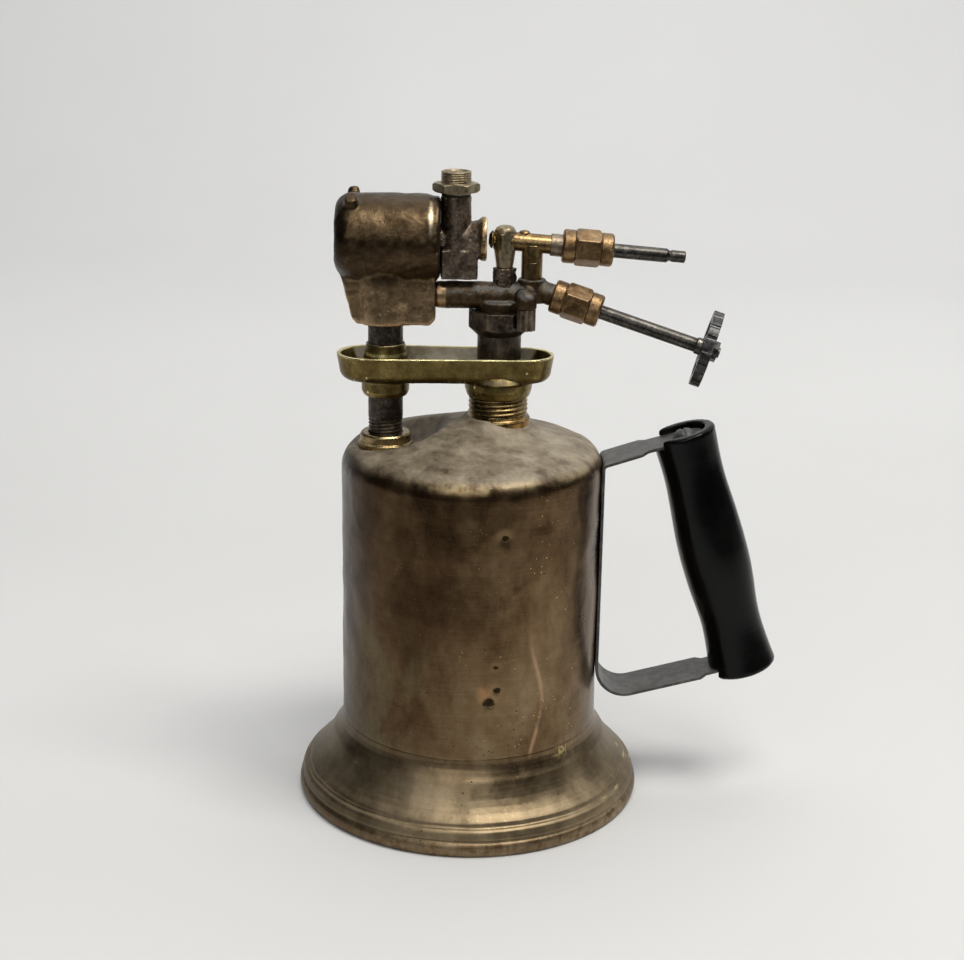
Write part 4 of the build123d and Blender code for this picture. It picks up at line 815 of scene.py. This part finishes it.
# Knocks in the wall: degrees round the axis, height, half width and depth.
WALL_KNOCKS = ((284.2, 123.2, 2.2, 0.9), (278.8, 57, 2.0, 1.0), (281.4, 61.8, 1.4, 0.8), (300, 128, 5.0, 0.5),
               (245, 60, 7.0, 0.4), (205, 82, 8.0, 0.6), (100, 96, 6.0, 0.9), (70, 52, 4.0, 0.7),
               (150, 70, 3.0, 0.6))


def wall_push(azimuth, z, body_r):
    """Outward push of the wall from its crease low on the near right, its knocks and the stamped oval."""
    crease_at = 360 + CREASE_AZIMUTH + CREASE_SWAY * bell(z - CREASE_MIDDLE, CREASE_REACH)
    across = (azimuth - crease_at) * math.radians(body_r)
    ridge = 0.42 * bell(across, 1.7) - 0.5 * bell(across - 6, 5.0) - 0.3 * bell(across + 5, 4.0)
    push = step_up(z, 24, 44) * step_up(z, 112, 88) * ridge
    for knock_azimuth, knock_z, width, depth in WALL_KNOCKS:
        gap = (azimuth - knock_azimuth + 180) % 360 - 180
        push = push - depth * bell(np.hypot(gap * math.radians(body_r), z - knock_z), width)
    oval_across = ((azimuth - 164) * math.radians(body_r)) / 21.0
    oval = np.hypot(oval_across, (z - 103) / 14.5)
    return push - 0.45 * bell((oval - 1) * 16, 0.8)


def tank_skin():
    """Drawn tank with a soft hollow for the front bush, small dents and a blank oval stamp on its -X side."""
    low, high = corners("tank_shell")
    body_r = high[0]
    inner_r = body_r - 1.05
    lip_r = body_r - 2.0
    top_z = high[2]
    low_z = low[2]
    seam_z = corners("foot_ring")[1][2]
    turn_z = shoulder_turn(body_r, top_z)
    arc = [math.radians(a) for a in np.linspace(74, 0, 14)]
    centre_r = body_r - SHOULDER_R
    outline = [(0.4, top_z), (DOME_FLAT_R, top_z)]
    outline += [(centre_r + SHOULDER_R * math.cos(a), turn_z + SHOULDER_R * math.sin(a)) for a in arc]
    inside = [(inner_r, seam_z - 1.6), (inner_r, low_z), (lip_r, low_z), (lip_r, low_z + 4.0),
              (0.4, low_z + 4.2)]
    outline = soften(outline + [(body_r, seam_z - 1.1)] + inside, 0.8, 1.05)
    steps = 336
    angle = np.broadcast_to(np.linspace(0, TAU, steps, endpoint=False), (len(outline), steps))
    radius = np.repeat(outline[:, :1], steps, axis=1)
    z = np.repeat(outline[:, 1:], steps, axis=1)
    x = radius * np.cos(angle)
    y = radius * np.sin(angle)

    inside_count = 8
    on_dome = (z > turn_z - 2) & (np.arange(len(outline)) < len(outline) - inside_count)[:, None]
    z = np.where(on_dome, dome_height(x, y, z, top_z), z)
    points = np.stack([x, y, z], axis=-1).reshape(-1, 3)
    uneven = grains(points, 34, 3, 1).reshape(z.shape)
    ripple = grains(points, 9, 2, 2).reshape(z.shape)
    z += on_dome * (0.25 * uneven + 0.1 * ripple)

    wall = step_up(radius, body_r - 3.5, body_r - 0.3) * step_up(z, seam_z + 1, seam_z + 9)
    push = wall_push(np.degrees(angle), z, body_r) - 0.55 * np.abs(uneven) - 0.1 * ripple
    radius = radius + wall * push
    dent_line = step_up(z, turn_z - 2, turn_z + 3) * step_up(radius, body_r - 6, body_r - 1)
    radius = radius - dent_line * 0.3 * np.abs(grains(points, 11, 2, 5).reshape(z.shape))
    return new_piece("tank_skin", on_cylinder(radius, angle, z), ring_faces(len(outline), steps))


finish_piece(tank_skin(), "tank_shell")


# ---------------- foot
def foot_skin():
    """Spun bell foot: a sleeve round the tank, soft rings and two ridges in the flare, and the rolled rim."""
    high = corners("foot_ring")[1]
    rim_r = high[0]
    seam_z = high[2]
    sleeve_r = 52.0
    flare = [(sleeve_r - 0.2, seam_z + 0.5), (sleeve_r + 0.1, seam_z), (sleeve_r + 0.42, 31.0), (53.0, 29.2),
             (54.1, 27.3), (55.3, 25.5), (56.3, 24.0), (57.6, 21.7), (59.1, 19.2), (60.9, 16.9), (62.9, 14.8),
             (64.9, 13.1), (65.7, 12.3), (65.9, 11.3), (66.5, 10.7), (67.3, 10.5), (68.2, 9.7), (69.0, 7.4),
             (69.0, 6.9), (68.6, 6.3), (68.8, 5.8)]
    roll = [(rim_r - 1.6 + 1.6 * math.cos(a), 2.9 + 2.9 * math.sin(a)) for a in np.linspace(1.0, -1.45, 14)]
    bore_r = sleeve_r - 0.95
    under = [(rim_r - 2.2, 0.05), (rim_r - 3.2, 0.5), (rim_r - 3.6, 1.4), (rim_r - 3.6, 8.2), (65.0, 10.6),
             (62.0, 13.6), (58.6, 17.4), (56.0, 20.9), (53.8, 24.4), (52.2, 27.2), (bore_r, 28.0),
             (bore_r, seam_z)]
    outline = soften(flare + roll + under, 0.5, 1.1)[:, ::-1]

    def form(angle, distance, radius):
        wobble = grains(on_cylinder(60, angle, distance), 26, 2, 3).reshape(radius.shape)
        outside = step_up(radius, sleeve_r + 1, sleeve_r + 5) * step_up(distance, 4, 9)
        rings = 0.16 * bell(distance - 25.2, 1.0) - 0.14 * bell(distance - 27.2, 1.0)
        ridges = 0.35 * bell(np.degrees(angle) - 271, 2.6) + 0.3 * bell(np.degrees(angle) - 289, 2.2)
        ridges = ridges * step_up(distance, 9, 14) * step_up(distance, 27, 21)
        return radius + outside * (ridges + rings - 0.45 * np.abs(wobble))

    return turned("foot_skin", Matrix.Identity(4), outline, 300, form, loop=True)


finish_piece(foot_skin(), "foot_ring")


# ---------------- columns
def helix_thread(angle, distance, pitch, depth):
    """Height of a rounded thread that climbs by one pitch each turn."""
    phase = (distance / pitch - angle / TAU) % 1
    return depth * (0.5 - 0.5 * np.cos(TAU * phase)) ** 0.8


def threaded_neck():
    """Brass neck of the rear column: a plain collar, coarse threads, and a plain top in the cup's boss."""
    low, high = corners("rear_neck")
    collar_r = (high[0] - low[0]) / 2
    bore_r = 8.6
    root_r = 10.95
    outline = soften([(low[2], bore_r), (low[2], collar_r), (157.4, collar_r), (158.5, collar_r - 0.7),
                      (159.1, root_r), (high[2], root_r), (high[2], bore_r)], 0.35, 0.16)

    def form(angle, distance, radius):
        cut = step_up(distance, 158.9, 159.8) * step_up(distance, 169.5, 168.8) * (radius > root_r - 0.3)
        return radius + cut * helix_thread(angle, distance, 1.8, 0.72)

    return turned("threaded_neck", upright("rear_neck"), outline, 120, form, loop=True)


finish_piece(threaded_neck(), "rear_neck")


def iron_pipe_skin():
    """Iron pipe with its cut thread still showing above the bush."""
    low, high = corners("front_pipe")
    pipe_r = (high[0] - low[0]) / 2
    bore_r = 4.6
    outline = soften([(low[2], bore_r), (low[2], pipe_r), (high[2], pipe_r), (high[2], bore_r)], 0.4, 0.3)

    def form(angle, distance, radius):
        cut = step_up(distance, 149, 150) * step_up(distance, 158, 155.5) * (radius > pipe_r - 0.3)
        points = on_cylinder(pipe_r, angle, distance)
        scale = 0.06 * grains(points, 2.2, 2, 4).reshape(radius.shape) * (radius > pipe_r - 0.3)
        return radius - cut * helix_thread(angle, distance, 1.41, 0.45) - np.abs(scale)

    return turned("iron_pipe_skin", upright("front_pipe"), outline, 72, form, loop=True)


finish_piece(iron_pipe_skin(), "front_pipe")


def plug_skin():
    """Cleaning plug: shank, thin hexagon, and a finely threaded round head with a shallow dished top."""
    low, high = corners("cleaning_plug")
    middle_x = (low[0] + high[0]) / 2
    across = high[1] - low[1]
    top_z = high[2]
    shank_r = 3.55
    head_r = 5.9
    corner_r = 9.16
    chamfer_r = 8.2
    hex_low = 246.0
    hex_high = 249.4
    shank = [(low[2], 0.3), (low[2], 3.2), (low[2] + 0.6, shank_r), (hex_low - 0.7, shank_r),
             (hex_low - 0.7, head_r)]
    hexagon = [(hex_low, head_r), (hex_low, chamfer_r), (hex_low + 0.6, corner_r), (hex_high - 0.6, corner_r),
               (hex_high, chamfer_r), (hex_high, head_r)]
    head = [(top_z - 0.4, head_r), (top_z, head_r - 0.6), (top_z, 4.6), (top_z - 0.7, 4.1), (top_z - 0.8, 0.3)]
    outline = soften(shank + hexagon + head, 0.25, 0.22)

    def form(angle, distance, radius):
        in_hex = (distance > hex_low - 0.01) & (distance < hex_high + 0.01) & (radius > head_r + 0.1)
        radius = np.where(in_hex, np.minimum(radius, flats(6, across, angle)), radius)
        cut = step_up(distance, hex_high + 0.2, hex_high + 0.6) * step_up(distance, top_z - 0.1, top_z - 0.6)
        return radius - cut * (radius > 5.2) * helix_thread(angle, distance, 0.9, 0.3)

    return turned("cleaning_plug_skin", Matrix.Translation((middle_x, 0, 0)), outline, 144, form)


finish_piece(plug_skin(), "cleaning_plug")


# ---------------- valves
def packing_nut(valve):
    """Packing nut: rounded collar, chamfered hexagon and a round tail, hollow towards the valve body."""
    node = f"{valve}_packing_nut"
    place, length = valve_place(f"{valve}_valve_lift", node)
    collar = 4.9
    tail = length - 5.0
    across = 12.7
    collar_r = 6.5
    corner_r = 7.3
    tail_r = 6.4
    stem_r = 2.9
    bore_r = 3.9
    bore_end = length - 6.0
    outline = [(0, bore_r), (0, 5.9), (0.6, collar_r), (collar - 0.5, collar_r), (collar, 6.1)]
    outline += [(collar, collar_r), (collar + 0.8, corner_r), (tail - 0.8, corner_r), (tail, collar_r)]
    outline += [(tail, 6.0), (tail + 0.4, tail_r), (length - 0.7, tail_r), (length, 5.6), (length, stem_r)]
    outline = soften(outline + [(bore_end, stem_r), (bore_end, bore_r)], 0.3, 0.4)

    def form(angle, distance, radius):
        in_hex = (distance > collar) & (distance < tail) & (radius > 5.5)
        return np.where(in_hex, np.minimum(radius, flats(6, across, angle)), radius)

    finish_piece(turned(f"{node}_skin", place, outline, 144, form, loop=True), node)


packing_nut("upper")
packing_nut("lower")


# ---------------- castings and the grip
def casting(name, node, voxel, rounds, *layers):
    """A CAD node remade with a grid of voxel millimetres, melted by rounds of relaxing, then roughened."""
    piece = remade(name, node, voxel, rounds)
    roughen(piece, *layers)
    finish_piece(piece, node)


casting("burner_skin", "burner_casting", 0.5, 16, (0.3, 8, 1), (0.08, 2.4, 2))
casting("mixing_block_skin", "mixing_block", 0.32, 10, (0.16, 4, 3), (0.07, 1.3, 4))
casting("valve_body_skin", "valve_body", 0.3, 24, (0.22, 4, 5), (0.08, 1.5, 6))
casting("jet_post_nut_skin", "jet_post_nut", 0.22, 3, (0.35, 1.9, 7), (0.1, 0.8, 8))
casting("cup_skin", "drip_cup", 0.36, 3, (0.1, 11, 9), (0.04, 3, 10))
casting("grip_skin", "grip", 0.5, 4, (0.08, 14, 11))


# ---------------- the other CAD nodes keep their shape
def ease_edges(piece, width):
    """Joins a CAD mesh's faces and eases its sharp edges."""
    weld = piece.modifiers.new("joined", "WELD")
    weld.merge_threshold = 1e-6
    bevel = piece.modifiers.new("eased", "BEVEL")
    bevel.width = width * MM
    bevel.segments = 2
    bevel.limit_method = "ANGLE"
    bevel.angle_limit = math.radians(32)
    bevel.use_clamp_overlap = False
    shading = piece.modifiers.new("shading", "WEIGHTED_NORMAL")
    shading.keep_sharp = False
    shading.weight = 60


FINE_NODES = {"check_valve_spring", "wick", "vapour_screen"}
for node_name, node_object in nodes.items():
    if node_object.hide_render:
        continue
    put(node_object, SLOT_LOOKS[slot_of[node_name]])
    if node_name not in FINE_NODES:
        ease_edges(node_object, 0.16)


# ---------------- studio
def studio_sheet():
    """Pale sheet that lies flat and sweeps up far behind the torch; a painted shadow greys it away in front of it.
    """
    flat_front = -2400
    flat_back = 1150
    sweep = 500
    profile = [(flat_front, 0), (-400, 0), (0, 0), (600, 0)]
    quarter = np.linspace(0, math.pi / 2, 16)
    profile += [(flat_back + sweep * math.sin(a), sweep - sweep * math.cos(a)) for a in quarter]
    profile.append((flat_back + sweep, 2400))
    half_width = 2600
    points = [(side * half_width, y, z) for y, z in profile for side in (-1, 1)]
    faces = [(2 * i, 2 * i + 1, 2 * i + 3, 2 * i + 2) for i in range(len(profile) - 1)]
    sheet = new_piece("studio_sheet", points, faces)
    look = Look("studio_paper")
    soft = look.clouds(300, 2)
    pale = look.mix(soft, tone(210, 210, 209), tone(216, 216, 215))
    # Painted shadow: the floor greys away in front of the torch.
    front = look.rise(look.y, -0.16, -0.55)
    colour = look.mix(front, pale, tone(62, 61, 60))
    look.done(colour, 0.85, 0.0)
    put(sheet, look.material)


def softbox(name, at, size, power, aim=(0, 0, 0.1), colour=(1, 1, 1)):
    """Square area light of a size in metres, aimed at a point."""
    light = bpy.data.lights.new(name, "AREA")
    light.shape = "RECTANGLE"
    light.size, light.size_y = size
    light.energy = power
    light.color = colour
    lamp = bpy.data.objects.new(name, light)
    lamp.location = at
    lamp.rotation_euler = (Vector(aim) - Vector(at)).to_track_quat("-Z", "Y").to_euler()
    bpy.context.scene.collection.objects.link(lamp)


def camera():
    """Long lens from the front, a hand's height above the burner, looking slightly down."""
    place = Matrix.Translation((0, -0.6883, 0.3437))
    pitch, pan, roll = 0.2997, 0.0059, 0.0159
    right = Vector((math.cos(pan), -math.sin(pan), 0))
    forward = Vector((math.sin(pan) * math.cos(pitch), math.cos(pan) * math.cos(pitch), -math.sin(pitch)))
    up = right.cross(forward)
    side = right * math.cos(roll) + up * math.sin(roll)
    top = up * math.cos(roll) - right * math.sin(roll)
    data = bpy.data.cameras.new("camera")
    data.lens = 67.2
    data.sensor_width = 36
    data.clip_start = 0.02
    view = bpy.data.objects.new("camera", data)
    view.matrix_world = place @ Matrix((side, top, -forward)).transposed().to_4x4()
    bpy.context.scene.collection.objects.link(view)
    bpy.context.scene.camera = view


def studio():
    studio_sheet()
    softbox("lamp_near", (0.12, -0.72, 1.78), (0.6, 0.6), 10, colour=(1, 0.98, 0.95))
    softbox("lamp_right", (0.72, -0.38, 1.72), (0.6, 0.6), 16, colour=(1, 0.98, 0.95))
    softbox("overhead", (-0.1, 0.6, 1.9), (2.2, 1.3), 13.5)
    softbox("front_fill", (-0.3, -1.3, 0.95), (0.9, 0.9), 4.5)
    softbox("right_panel", (1.75, 0.75, 1.35), (1.5, 1.5), 6)
    softbox("backdrop_wash", (0.1, 0.3, 1.6), (2.0, 0.8), 17, aim=(0.1, 1.65, 1.6))
    world = bpy.data.worlds.new("room")
    world.use_nodes = True
    world.node_tree.nodes["Background"].inputs["Color"].default_value = tone(205, 207, 209)
    world.node_tree.nodes["Background"].inputs["Strength"].default_value = 0.12
    bpy.context.scene.world = world
    bpy.context.scene.view_settings.view_transform = "Standard"


camera()
studio()
